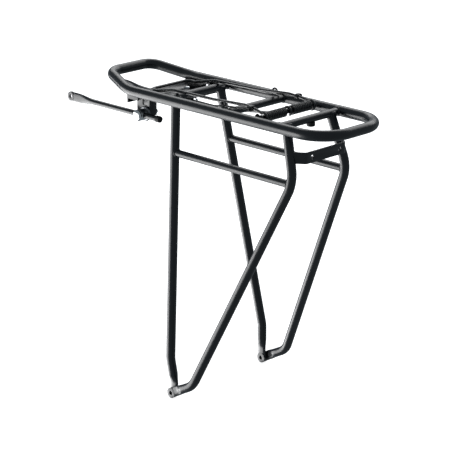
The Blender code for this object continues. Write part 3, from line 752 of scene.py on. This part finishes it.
def build_legs(side, paint):
    sign = SIDES[side]
    front = footed_leg(front_leg_route(sign), INNER_FOOT, FOOT_Y - INNER_FOOT, sign, FRONT_PRESS)
    refine(f"{side}_front_leg", front, paint, "frame")
    rear = footed_leg(rear_leg_route(sign), OUTER_FOOT, FOOT_Y + FOOT_GAP, sign, REAR_PRESS)
    refine(f"{side}_rear_leg", rear, paint, "frame")


def build_side_bar(side, paint):
    y = SIDES[side] * side_y(BAR_Z)
    ends = [(front_leg_x(BAR_Z), y, BAR_Z), (REAR_KNEE[0] - 4 * MM, y, BAR_Z)]
    bar = sweep(ends, BAR_R, sides=36)
    refine(f"{side}_side_bar", bar, paint, "frame")


# Welds

def seam(start, outward, radius, other_point, other_axis, other_radius, count=110):
    """Closed line where a round bar that runs from start along outward leaves another round bar."""
    start = Vector(start)
    outward = Vector(outward).normalized()
    other_axis = Vector(other_axis).normalized()
    u = outward.orthogonal().normalized()
    w = outward.cross(u)
    flat_out = outward - other_axis * outward.dot(other_axis)
    points = []
    for index in range(count):
        turn = 2 * math.pi * index / count
        spot = start + (u * math.cos(turn) + w * math.sin(turn)) * radius
        flat = spot - Vector(other_point)
        flat -= other_axis * flat.dot(other_axis)
        a = flat_out.dot(flat_out)
        b = flat.dot(flat_out)
        inside = max(b * b - a * (flat.dot(flat) - other_radius ** 2), 0.0)
        points.append(spot + outward * ((-b + math.sqrt(inside)) / a))
    return points


def bead_mesh(points, radius, closed):
    """A weld run with the small even ripples of the torch."""
    points = [Vector(point) for point in points]
    length = route_length(points) + ((points[0] - points[-1]).length if closed else 0)
    ripples = max(6, round(length / WELD_PITCH))

    def shape(distance):
        swell = 1 + WELD_RIPPLE * math.cos(2 * math.pi * ripples * distance / length)
        return (radius * swell, radius * swell)

    centre = sum(points, Vector()) / len(points)
    across = Vector((0.31, 0.47, 0.83))
    if closed:
        across = (points[0] - centre).cross(points[len(points) // 4] - centre).normalized()
    return sweep(points, radius, sides=14, closed=closed, across=across, shape=shape,
                 dome=0.0 if closed else radius)


def weld(name, points, paint, radius=WELD_R, closed=True):
    add_piece(name, bead_mesh(points, radius, closed), paint, "frame", smooth=80.0)


def build_welds(paint):
    tubes = (("front", FRONT_CROSS_X), ("middle", MIDDLE_CROSS_X), ("rear", REAR_CROSS_X))
    for side, sign in SIDES.items():
        for label, x in tubes:
            rail = (x, sign * RAIL_Y, TOP_Z)
            line = seam(rail, (0, -sign, 0), CROSS_R, rail, (1, 0, 0), RING_R)
            weld(f"weld_{label}_cross_{side}", line, paint)
        front_top = Vector((front_leg_x(TOP_Z), sign * side_y(TOP_Z), TOP_Z))
        front_foot = Vector((front_leg_x(ANKLE_Z), sign * side_y(ANKLE_Z), ANKLE_Z))
        rear_top = Vector((REAR_CROSS_X, sign * side_y(TOP_Z), TOP_Z))
        rear_knee = Vector((REAR_KNEE[0], sign * side_y(REAR_KNEE[1]), REAR_KNEE[1]))
        line = seam(front_top, front_foot - front_top, LEG_R,
                    (FRONT_CROSS_X, 0, TOP_Z), (0, 1, 0), CROSS_R)
        weld(f"weld_front_leg_{side}", line, paint)
        line = seam(rear_top, rear_knee - rear_top, LEG_R,
                    (REAR_CROSS_X, 0, TOP_Z), (0, 1, 0), CROSS_R)
        weld(f"weld_rear_leg_{side}", line, paint)
        bar_y = sign * side_y(BAR_Z)
        front_end = (front_leg_x(BAR_Z), bar_y, BAR_Z)
        line = seam(front_end, (1, 0, 0), BAR_R, front_end, front_foot - front_top, LEG_R)
        weld(f"weld_bar_front_{side}", line, paint, BAR_WELD_R)
        heel_x, heel_z = REAR_HEEL
        knee = bent_path([rear_top, rear_knee, (heel_x, sign * side_y(heel_z), heel_z)], [KNEE_R])
        near = min(range(1, len(knee) - 1), key=lambda index: abs(knee[index].z - BAR_Z))
        along = knee[near + 1] - knee[near - 1]
        rear_end = knee[near] + along * ((BAR_Z - knee[near].z) / along.z)
        line = seam(rear_end, (-1, 0, 0), BAR_R, rear_end, along, LEG_R)
        weld(f"weld_bar_rear_{side}", line, paint, BAR_WELD_R)
        for label, begin, end, y in PLATE_WELDS:
            steps = [begin + (end - begin) * step / 24 for step in range(25)]
            line = [(x, sign * y, PLATE_TOP + PLATE_WELD_RISE) for x in steps]
            weld(f"weld_plate_{label}_{side}", line, paint, PLATE_WELD_R, closed=False)


# Sheet-metal pieces

def strip(points, low, high, thickness):
    """A flat strip on edge that follows points in plan view."""
    half = thickness / 2
    outer = []
    inner = []
    for index, point in enumerate(points):
        before = points[max(index - 1, 0)]
        after = points[min(index + 1, len(points) - 1)]
        along = (after - before).normalized()
        normal = Vector((-along.y, along.x))
        outer.append(point + normal * half)
        inner.append(point - normal * half)
    return prism([(p.x, p.y) for p in outer + inner[::-1]], "Z", low, high)


def build_light_strip(paint):
    wing_z = sum(LIGHT_Z) / 2
    share = (TOP_Z - wing_z) / (TOP_Z - REAR_KNEE[1])
    wing_x = REAR_CROSS_X + (REAR_KNEE[0] - REAR_CROSS_X) * share + 0.6 * LEG_R
    wing_y = side_y(wing_z) - 0.5 * MM
    corners = [(wing_x, -wing_y, 0), (LIGHT_X, -LIGHT_Y, 0), (LIGHT_X, LIGHT_Y, 0), (wing_x, wing_y, 0)]
    plan = [Vector((p.x, p.y)) for p in bent_path(corners, [LIGHT_BEND_R, LIGHT_BEND_R], steps=8)]
    holes = []
    for sign in SIDES.values():
        hole = round_outline(sign * LIGHT_HOLE_Y, wing_z, LIGHT_HOLE_R)
        holes.append(prism(hole, "X", LIGHT_X - 9 * MM, LIGHT_X + 9 * MM))
    sheet = soften(carve(strip(plan, *LIGHT_Z, LIGHT_T), holes), 0.4 * MM)
    add_piece("rear_light_strip", sheet, paint, "frame", ["rear_light_bracket"])


def build_front_plate(paint):
    x0, x1 = PLATE_X
    wide, narrow = PLATE_Y
    low = PLATE_TOP - PLATE_T
    top = PLATE_TOP - PLATE_T / 2
    span = (low - 5 * MM, PLATE_TOP + 5 * MM)
    outline = [
        (x0, -wide), (PLATE_NECK_X, -wide), (PLATE_NECK_X, -narrow), (x1, -narrow),
        (x1, narrow), (PLATE_NECK_X, narrow), (PLATE_NECK_X, wide), (x0, wide),
    ]
    sheet = prism(outline, "Z", low, PLATE_TOP)
    rims = [prism(box_outline(x0, x0 + RIM_T, -wide, wide), "Z", FRONT_RIM_Z, top)]
    middle_x = (PLATE_NECK_X + x1) / 2
    slot = slot_outline(-CENTRE_SLOT_Y, CENTRE_SLOT_Y, middle_x + CENTRE_SLOT_X, CENTRE_SLOT_R)
    cuts = [prism([(a, b) for b, a in slot], "Z", *span)]
    slot_x0, slot_x1 = (middle_x + x for x in SIDE_SLOT_X)
    bolt_x, bolt_y = BRACKET_BOLT
    for sign in SIDES.values():
        rim = box_outline(x0 + RIM_T / 2, PLATE_NECK_X, sign * (wide - RIM_T), sign * wide)
        rims.append(prism(rim, "Z", SIDE_RIM_Z, top))
        cuts.append(prism(round_outline(bolt_x, sign * bolt_y, BOLT_HOLE_R), "Z", *span))
        slot = slot_outline(slot_x0, slot_x1, sign * SIDE_SLOT_Y, SIDE_SLOT_R)
        cuts.append(prism(slot, "Z", *span))
    sheet = soften(carve(sheet, cuts, rims), 0.5 * MM)
    add_piece("front_plate_sheet", sheet, paint, "frame", ["front_plate"])


def build_strut_bracket(side, paint):
    sign = SIDES[side]
    x0, x1 = WEB_X
    top = PLATE_TOP - PLATE_T - FOOT_GAP
    under = top - SHEET_T / 2
    inner = WEB_Y - SHEET_T / 2
    web = prism(rounded_box(x0, x1, FLANGE_Z, top, 1.2 * MM), "Y", sign * (WEB_Y - SHEET_T), sign * WEB_Y)
    shelf = prism(box_outline(*SHELF_X, sign * SHELF_Y, sign * inner), "Z", top - SHEET_T, top)
    flange = prism(box_outline(x1 - SHEET_T, x1, sign * FLANGE_Y, sign * inner), "Z", FLANGE_Z, under)
    back_web = prism(box_outline(x0, x1 - SHEET_T / 2, FLANGE_Z, under), "Y",
                     sign * FLANGE_Y, sign * (FLANGE_Y + SHEET_T))
    bolt_x, bolt_y = BRACKET_BOLT
    span = (sign * (WEB_Y - 8 * MM), sign * (WEB_Y + 8 * MM))
    clamp_span = (sign * (FLANGE_Y - 3 * MM), sign * (WEB_Y + 3 * MM))
    cuts = [
        prism(round_outline(bolt_x, sign * bolt_y, BOLT_HOLE_R), "Z", top - 8 * MM, top + 5 * MM),
        prism(rounded_box(*WINDOW, WINDOW_CORNER_R), "Y", *span),
        prism(round_outline(CLAMP_X, CLAMP_Z, SHANK_R + 0.5 * MM), "Y", *clamp_span),
    ]
    sheet = soften(carve(web, cuts, [shelf, flange, back_web]), 0.4 * MM)
    add_piece(f"{side}_bracket_sheet", sheet, paint, "frame", [f"{side}_strut_bracket"])


# Fasteners, clamps and struts

def thread(start, end, radius, pitch=0.8 * MM):
    """Profile of a threaded shank between two distances along its axis."""
    count = max(2, round(abs(end - start) / (pitch / 2)))
    step = (end - start) / count
    return [(start + step * index, radius * (1.0 if index % 2 else 0.87)) for index in range(count + 1)]


def quarter_round(start, rise, radius, degrees):
    """Profile points of a domed head at the given angles."""
    turns = [math.radians(angle) for angle in degrees]
    return [(start + rise * math.sin(turn), radius * math.cos(turn)) for turn in turns]


def build_bracket_fasteners(side, chrome, steel):
    x, y = BRACKET_BOLT
    y *= SIDES[side]
    head_z = PLATE_TOP + FOOT_GAP
    low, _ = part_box(f"{side}_bracket_bolt")
    profile = thread(low.z - head_z, -3.2 * MM, BOLT_R)
    profile += [(0, BOLT_R), (0, BOLT_HEAD_R - 0.2 * MM), (0.25 * MM, BOLT_HEAD_R)]
    profile += quarter_round(0, BOLT_HEAD_RISE, BOLT_HEAD_R, range(9, 90, 9))
    recess = []
    for a, b in ((RECESS_LONG, RECESS_SHORT), (RECESS_SHORT, RECESS_LONG)):
        arm = box_outline(x - a, x + a, y - b, y + b)
        recess.append(prism(arm, "Z", head_z + RECESS_FLOOR, head_z + 5 * MM))
    bolt = carve(turned(profile, (x, y, head_z), "Z"), recess)
    refine(f"{side}_bracket_bolt", bolt, chrome, "frame")
    low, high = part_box(f"{side}_bracket_nut")
    body = prism(round_outline(x, y, NUT_R, 6), "Z", low.z, high.z)
    bore = prism(round_outline(x, y, NUT_BORE_R), "Z", low.z - 3 * MM, high.z + 3 * MM)
    nut = soften(carve(body, [bore]), 0.35 * MM, 3, 30)
    refine(f"{side}_bracket_nut", nut, steel, "frame")


def tilted(bm, side):
    """Turn a clamp or strut piece about the clamp's axis to the height where its side stands."""
    angle = STRUT_TILT[side]
    for vert in bm.verts:
        x = vert.co.x - CLAMP_X
        z = vert.co.z - CLAMP_Z
        vert.co.x = CLAMP_X + x * math.cos(angle) + z * math.sin(angle)
        vert.co.z = CLAMP_Z - x * math.sin(angle) + z * math.cos(angle)
    return bm


def build_clamp(side, chrome, steel):
    sign = SIDES[side]
    axis_spot = (CLAMP_X, 0, CLAMP_Z)
    seat = WEB_Y + FOOT_GAP
    rim = [(seat, WASHER_R - 0.6 * MM), (seat + 0.3 * MM, WASHER_R), (seat + 1.5 * MM, WASHER_R),
           (seat + 2.0 * MM, WASHER_R - 0.5 * MM), (seat + WASHER_T, WASHER_R - 2.2 * MM)]
    bore = prism(round_outline(CLAMP_X, CLAMP_Z, SHANK_R + 0.35 * MM), "Y", sign * (seat - 4 * MM),
                 sign * (seat + 6 * MM))
    washer = carve(turned(rim, axis_spot, "Y", sign, 144, WASHER_TEETH, TOOTH_DEPTH), [bore])
    refine(f"{side}_clamp_washer", washer, steel, "frame")

    foot = seat + WASHER_T + FOOT_GAP
    head = ROD_Y + BARREL_PAST_ROD
    edge = BARREL_EDGE
    profile = thread(SHANK_END_Y, foot - 3 * MM, SHANK_R) + [
        (foot - 2.9 * MM, SHANK_R), (foot, SHANK_R), (foot, BARREL_R - edge),
        (foot + 0.15 * MM, BARREL_R - 0.2 * MM), (foot + edge, BARREL_R), (head - edge, BARREL_R),
        (head - 0.15 * MM, BARREL_R - 0.2 * MM), (head, BARREL_R - edge)]
    rod_ends = [(CLAMP_X + reach, sign * ROD_Y, CLAMP_Z) for reach in (-15 * MM, 15 * MM)]
    rod_hole = sweep(rod_ends, ROD_R + 0.3 * MM, sides=48)
    barrel = carve(turned(profile, axis_spot, "Y", sign), [rod_hole])
    refine(f"{side}_clamp_barrel", tilted(barrel, side), chrome, f"{side}_clamp")

    dome = [(head + FOOT_GAP, DOME_R - edge), (head + 0.5 * MM, DOME_R - 0.15 * MM),
            (head + 0.9 * MM, DOME_R)]
    dome += quarter_round(head + DOME_BAND, DOME_RISE, DOME_R, range(0, 90, 6))
    screw = turned(dome, axis_spot, "Y", sign, 96)
    refine(f"{side}_clamp_screw", tilted(screw, side), chrome, f"{side}_clamp", smooth=60.0)

    inner = WEB_Y - SHEET_T - FOOT_GAP
    outer = inner - CLAMP_NUT_T
    body = prism(round_outline(CLAMP_X, CLAMP_Z, CLAMP_NUT_R, 6), "Y", sign * inner, sign * outer)
    bore = prism(round_outline(CLAMP_X, CLAMP_Z, SHANK_R + 0.15 * MM), "Y",
                 sign * (inner + 3 * MM), sign * (outer - 3 * MM))
    nut = soften(carve(body, [bore]), 0.35 * MM, 3, 30)
    refine(f"{side}_clamp_nut", nut, steel, "frame")


def spoon_shape(distance):
    """Section of the strut: a tall flat tongue at its front end that runs back into a round rod."""
    share = eased((SPOON_END - distance) / SPOON_TAPER)
    return (ROD_R + (SPOON_R - ROD_R) * share, ROD_R + (SPOON_HALF_T - ROD_R) * share)


def build_strut(side, paint, rubber):
    y = SIDES[side] * ROD_Y
    route = dense([Vector((SPOON_X, y, CLAMP_Z)), Vector((ROD_END_X, y, CLAMP_Z))], 2 * MM)
    rod = sweep(route, ROD_R, sides=36, across=(0, 1, 0), shape=spoon_shape)
    tongue = prism(round_outline(SPOON_X, CLAMP_Z, SPOON_R), "Y", y - TONGUE_HALF_T, y + TONGUE_HALF_T)
    hole = prism(round_outline(SPOON_X, CLAMP_Z, EYELET_HOLE_R), "Y", y - 6 * MM, y + 6 * MM)
    strut = soften(carve(rod, [hole], [tongue]), 0.3 * MM, 2, 50)
    refine(f"{side}_strut", tilted(strut, side), paint, f"{side}_strut")
    front, back = END_CAP_X
    profile = [(front, END_CAP_R - 0.35 * MM), (front + 0.12 * MM, END_CAP_R - 0.1 * MM),
               (front + 0.4 * MM, END_CAP_R)]
    profile += round_lip(back, END_CAP_R, END_CAP_LIP)
    bore = sweep([(front - 5 * MM, y, CLAMP_Z), (ROD_END_X + 0.3 * MM, y, CLAMP_Z)], ROD_R + 0.15 * MM)
    cap = carve(turned(profile, (0, y, CLAMP_Z), "X"), [bore])
    refine(f"{side}_strut_cap", tilted(cap, side), rubber, f"{side}_strut")


# Sprung flap

def hinge_loop(centre_y, radius, begin, end, drift, steps=40):
    """Points of a wire eye around the hinge rod, from begin to end degrees."""
    points = []
    for step in range(steps + 1):
        share = step / steps
        turn = math.radians(begin + (end - begin) * share)
        points.append(Vector((HINGE_X + radius * math.cos(turn), centre_y + drift * share,
                              HINGE_Z + radius * math.sin(turn))))
    return points


def arm_path(sign):
    """Half of the hoop: a short tail, the hinge eye, then over both cross tubes down to the front bar."""
    loop = hinge_loop(sign * HOOP_EYE_Y, HOOP_EYE_R, *HOOP_EYE_TURN, -sign * HOOP_EYE_DRIFT)
    tail = loop[0] + TAIL_RUN * TAIL_LENGTH
    corners = [
        loop[-1],
        (HINGE_X - 15 * MM, sign * 41.4 * MM, TOP_Z + 10.4 * MM),
        (HINGE_X - 35 * MM, sign * 39.8 * MM, TOP_Z + 12.4 * MM),
        (30 * MM, sign * 37.8 * MM, TOP_Z + 8.8 * MM),
        (FRONT_CROSS_X - 6 * MM, sign * 36.4 * MM, TOP_Z + 7.6 * MM),
        (HOOP_X + 13 * MM, sign * ARM_Y, HOOP_Z),
        (HOOP_X, sign * ARM_Y, HOOP_Z),
        (HOOP_X, 0, HOOP_Z),
    ]
    radii = [20 * MM, 25 * MM, 80 * MM, 20 * MM, 14 * MM, 9 * MM]
    return [tail] + loop[:-1] + bent_path(corners, radii, steps=12)


def build_hoop(wire):
    path = arm_path(-1)[:-1] + arm_path(1)[::-1][1:]
    hoop = sweep(path, WIRE_R, sides=24, across=(0.02, 0.55, 1), dome=WIRE_R * 0.6)
    add_piece("flap_hoop_wire", hoop, wire, "flap", ["flap_hoop"])


def build_tail_cap(side, rubber):
    """Rubber cap on the free end of the hoop's wire, beside the hinge."""
    end = arm_path(SIDES[side])[0]
    length = TAIL_CAP_LENGTH
    points = [end + TAIL_RUN * (TAIL_CAP_GAP + length * step / 24) for step in range(25)]

    def shape(distance):
        inside = min(max(min(distance, length - distance) / (0.9 * MM), 0.0), 1.0)
        ridge = 0.12 * MM * math.cos(2 * math.pi * distance / (1.2 * MM))
        radius = TAIL_CAP_R - 0.9 * MM + 0.8 * MM * math.sqrt(1 - (1 - inside) ** 2) + ridge * inside
        return (radius, radius)

    cap = sweep(points, TAIL_CAP_R, sides=28, across=(0, 1, 0), shape=shape)
    refine(f"{side}_tail_cap", cap, rubber, "flap", smooth=50.0)


def build_hinge_rod(wire):
    edge = HINGE_END_Y
    profile = [(-edge - 2.6 * MM, 2.6 * MM), (-edge - 2.3 * MM, 3.4 * MM), (-edge - 1.8 * MM, 3.8 * MM),
               (-edge - 0.8 * MM, 3.8 * MM), (-edge - 0.5 * MM, 3.5 * MM), (-edge, HINGE_R)]
    profile += [(-along, radius) for along, radius in reversed(profile)]
    rod = turned(profile, (HINGE_X, 0, HINGE_Z), "Y", 1, 40)
    refine("flap_hinge_rod", rod, wire, "frame")


def build_stay(wire):
    """Wire that steadies the hinge rod: an eye on the rod, then a run forward under the middle cross tube."""
    loop = hinge_loop(STAY_EYE_Y, STAY_EYE_R, *STAY_EYE_TURN, STAY_EYE_DRIFT)
    y = loop[-1].y
    under = (MIDDLE_CROSS_X, y, TOP_Z - CROSS_R - 2.15 * MM)
    run = bent_path([loop[-1], under, (STAY_END_X, y, STAY_END_Z)], [80 * MM])
    stay = sweep(loop[:-1] + run, STAY_R, sides=24, across=(0, 1, 0), dome=0.6 * MM)
    add_piece("flap_stay_wire", stay, wire, "frame", ["flap_stay"])


def build_spring(side, wire):
    sign = SIDES[side]
    y0, y1 = SPRING_Y
    count = SPRING_TURNS * SPRING_STEPS
    points = []
    for step in range(count + 1):
        turn = math.radians(90) + 2 * math.pi * step / SPRING_STEPS
        points.append(Vector((HINGE_X + SPRING_R * math.cos(turn), sign * (y0 + (y1 - y0) * step / count),
                              HINGE_Z + SPRING_R * math.sin(turn))))
    tail = [points[-1] + Vector((-reach, 0, 0)) for reach in SPRING_TAIL]
    spring = sweep(points + tail, SPRING_WIRE_R, sides=14, across=(0, 1, 0), dome=0.5 * MM)
    add_piece(f"{side}_spring_coil", spring, wire, "frame", [f"{side}_flap_spring"])


def catch_path(sign):
    """Thin wire beside the hoop arm: held by the clip, an upright eye, then a low run forward."""
    y = sign * CATCH_Y
    drift = sign * CATCH_DRIFT
    eye_x, eye_z, eye_r = CATCH_EYE
    low_z = eye_z - eye_r
    held = bent_path([(102 * MM, y, TOP_Z + 10.6 * MM), (75 * MM, y, TOP_Z + 7.9 * MM),
                      (MIDDLE_CROSS_X, y, low_z)], [60 * MM], steps=8)
    eye = []
    for step in range(49):
        turn = math.radians(-90 - 7.5 * step)
        eye.append(Vector((eye_x + eye_r * math.cos(turn), y + drift * step / 48,
                           eye_z + eye_r * math.sin(turn))))
    run = bent_path([eye[-1], (40 * MM, y + drift, TOP_Z + 4.2 * MM),
                     (0, y + drift * 0.8, TOP_Z + 4.4 * MM)], [40 * MM], steps=8)
    return held + eye + run[1:]


def build_catch(side, wire, rubber):
    path = catch_path(SIDES[side])
    catch = sweep(path, CATCH_R, sides=18, across=(0, 1, 0), dome=0.6 * MM)
    refine(f"{side}_catch_wire", catch, wire, "flap")
    profile = [(0.4 * MM, 2.5 * MM), (0.6 * MM, 2.95 * MM), (1.0 * MM, 3.15 * MM), (2.6 * MM, 3.15 * MM),
               (2.8 * MM, 2.9 * MM), (3.3 * MM, 2.9 * MM), (3.5 * MM, 3.15 * MM), (8.6 * MM, 3.15 * MM),
               (9.4 * MM, 2.9 * MM), (9.9 * MM, 2.4 * MM), (10.05 * MM, 1.7 * MM)]
    cap = turned(profile, path[-1], "X", -1, 36)
    refine(f"{side}_catch_cap", cap, rubber, "flap", smooth=50.0)


def build_clip(side, wire):
    """Binding of thin wire wound round the hoop arm and the catch wire."""
    sign = SIDES[side]
    arm_y, wire_y = CLIP_Y
    reach = WIRE_R + CLIP_WIRE_R + 0.05 * MM
    first = CLIP_X[0] + CLIP_WIRE_R
    last = CLIP_X[1] - CLIP_WIRE_R
    half_turns = 2 * CLIP_TURNS
    steps = 10
    points = []
    for half in range(half_turns):
        outer = half % 2 == 0
        for step in range(steps + 1):
            turn = math.radians(-90 + 180 * step / steps + (0 if outer else 180))
            share = (half + step / steps) / half_turns
            y = (wire_y if outer else arm_y) + reach * math.cos(turn)
            points.append(Vector((first + (last - first) * share, sign * y,
                                  CLIP_Z + reach * math.sin(turn))))
    binding = sweep(points, CLIP_WIRE_R, sides=12, across=(1, 0, 0), dome=0.4 * MM)
    add_piece(f"{side}_clip_binding", binding, wire, "flap", [f"{side}_flap_clip"])


def build_pad(side, rubber):
    """Rubber block on the plate with a shallow groove where the hoop lands."""
    low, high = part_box(f"{side}_rest_pad")
    block = prism(rounded_box(low.x, high.x, low.y, high.y, 2.2 * MM), "Z", low.z, high.z)
    ends = [(x, SIDES[side] * ARM_Y, high.z + 1.2 * MM) for x in (low.x - 5 * MM, high.x + 5 * MM)]
    groove = sweep(ends, WIRE_R, sides=32)
    pad = soften(carve(block, [groove]), 0.7 * MM, 4)
    refine(f"{side}_rest_pad", pad, rubber, "frame")


def build_cable_plug(rubber):
    low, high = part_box("cable_plug")
    centre = ((low.x + high.x) / 2, (low.y + high.y) / 2, TOP_Z - CROSS_R)
    depth = centre[2] - low.z
    radius = (high.x - low.x) / 2
    profile = [(PLUG_TOP, radius)] + round_lip(depth, radius, PLUG_LIP)
    plug = turned(profile, centre, "Z", -1, 48)
    refine("cable_plug", plug, rubber, "frame")


# Stage

def build_floor():
    """A pale floor for the camera only: it lights nothing and takes no shadow."""
    made, tree, shader, spot = new_material("studio_floor")
    tone = mixed(tree, noise(tree, spot, 3, 2), (0.86, 0.86, 0.86), (0.90, 0.90, 0.90))
    tree.links.new(tone, shader.inputs["Base Color"])
    shader.inputs["Roughness"].default_value = 0.7
    shader.inputs["Emission Color"].default_value = (1, 1, 1, 1)
    shader.inputs["Emission Strength"].default_value = FLOOR_GLOW
    square = box_outline(-FLOOR_HALF, FLOOR_HALF, -FLOOR_HALF, FLOOR_HALF)
    floor = raw_object("studio_floor", prism(square, "Z", FLOOR_Z - FLOOR_T, FLOOR_Z - FLOOR_DROP))
    floor.data.materials.append(made)
    floor.visible_diffuse = False
    floor.visible_glossy = False
    floor.visible_shadow = False


def soft_box(name, azimuth, elevation, distance, width, height, radiance):
    """A soft box that faces the object from an azimuth, elevation and distance."""
    data = bpy.data.lights.new(name, "AREA")
    data.shape = "RECTANGLE"
    data.size = width
    data.size_y = height
    data.energy = radiance * width * height * math.pi
    lamp = bpy.data.objects.new(name, data)
    flat = distance * math.cos(math.radians(elevation))
    turn = math.radians(azimuth)
    aim = Vector((0, 0, AIM_HEIGHT))
    lamp.location = aim + Vector((flat * math.cos(turn), flat * math.sin(turn),
                                  distance * math.sin(math.radians(elevation))))
    lamp.rotation_euler = (aim - lamp.location).to_track_quat("-Z", "Y").to_euler()
    lamp.visible_camera = False
    bpy.context.scene.collection.objects.link(lamp)


def build_lights():
    world = bpy.data.worlds.new("studio_air")
    world.use_nodes = True
    background = world.node_tree.nodes["Background"]
    background.inputs["Color"].default_value = AIR_COLOUR
    background.inputs["Strength"].default_value = AIR_STRENGTH
    bpy.context.scene.world = world
    for settings in SOFT_BOXES:
        soft_box(*settings)


def build_camera():
    data = bpy.data.cameras.new("camera")
    data.lens = CAMERA_LENS
    data.clip_end = 60.0
    camera = bpy.data.objects.new("camera", data)
    camera.location = CAMERA_AT
    camera.rotation_euler = CAMERA_TURN
    bpy.context.scene.collection.objects.link(camera)
    bpy.context.scene.camera = camera


def main():
    paint = powder_coat()
    wire = coated_wire()
    steel = zinc()
    chrome = bright_chrome()
    rubber = black_rubber()
    build_ring(paint)
    build_cross_tubes(paint)
    build_welds(paint)
    build_light_strip(paint)
    build_front_plate(paint)
    build_hinge_rod(wire)
    build_stay(wire)
    build_hoop(wire)
    build_cable_plug(rubber)
    for side in SIDES:
        build_legs(side, paint)
        build_side_bar(side, paint)
        build_strut_bracket(side, paint)
        build_bracket_fasteners(side, chrome, steel)
        build_clamp(side, chrome, steel)
        build_strut(side, paint, rubber)
        build_spring(side, wire)
        build_catch(side, wire, rubber)
        build_tail_cap(side, rubber)
        build_clip(side, wire)
        build_pad(side, rubber)
    build_floor()
    build_lights()
    build_camera()
    bpy.context.scene.view_settings.view_transform = "Standard"


main()
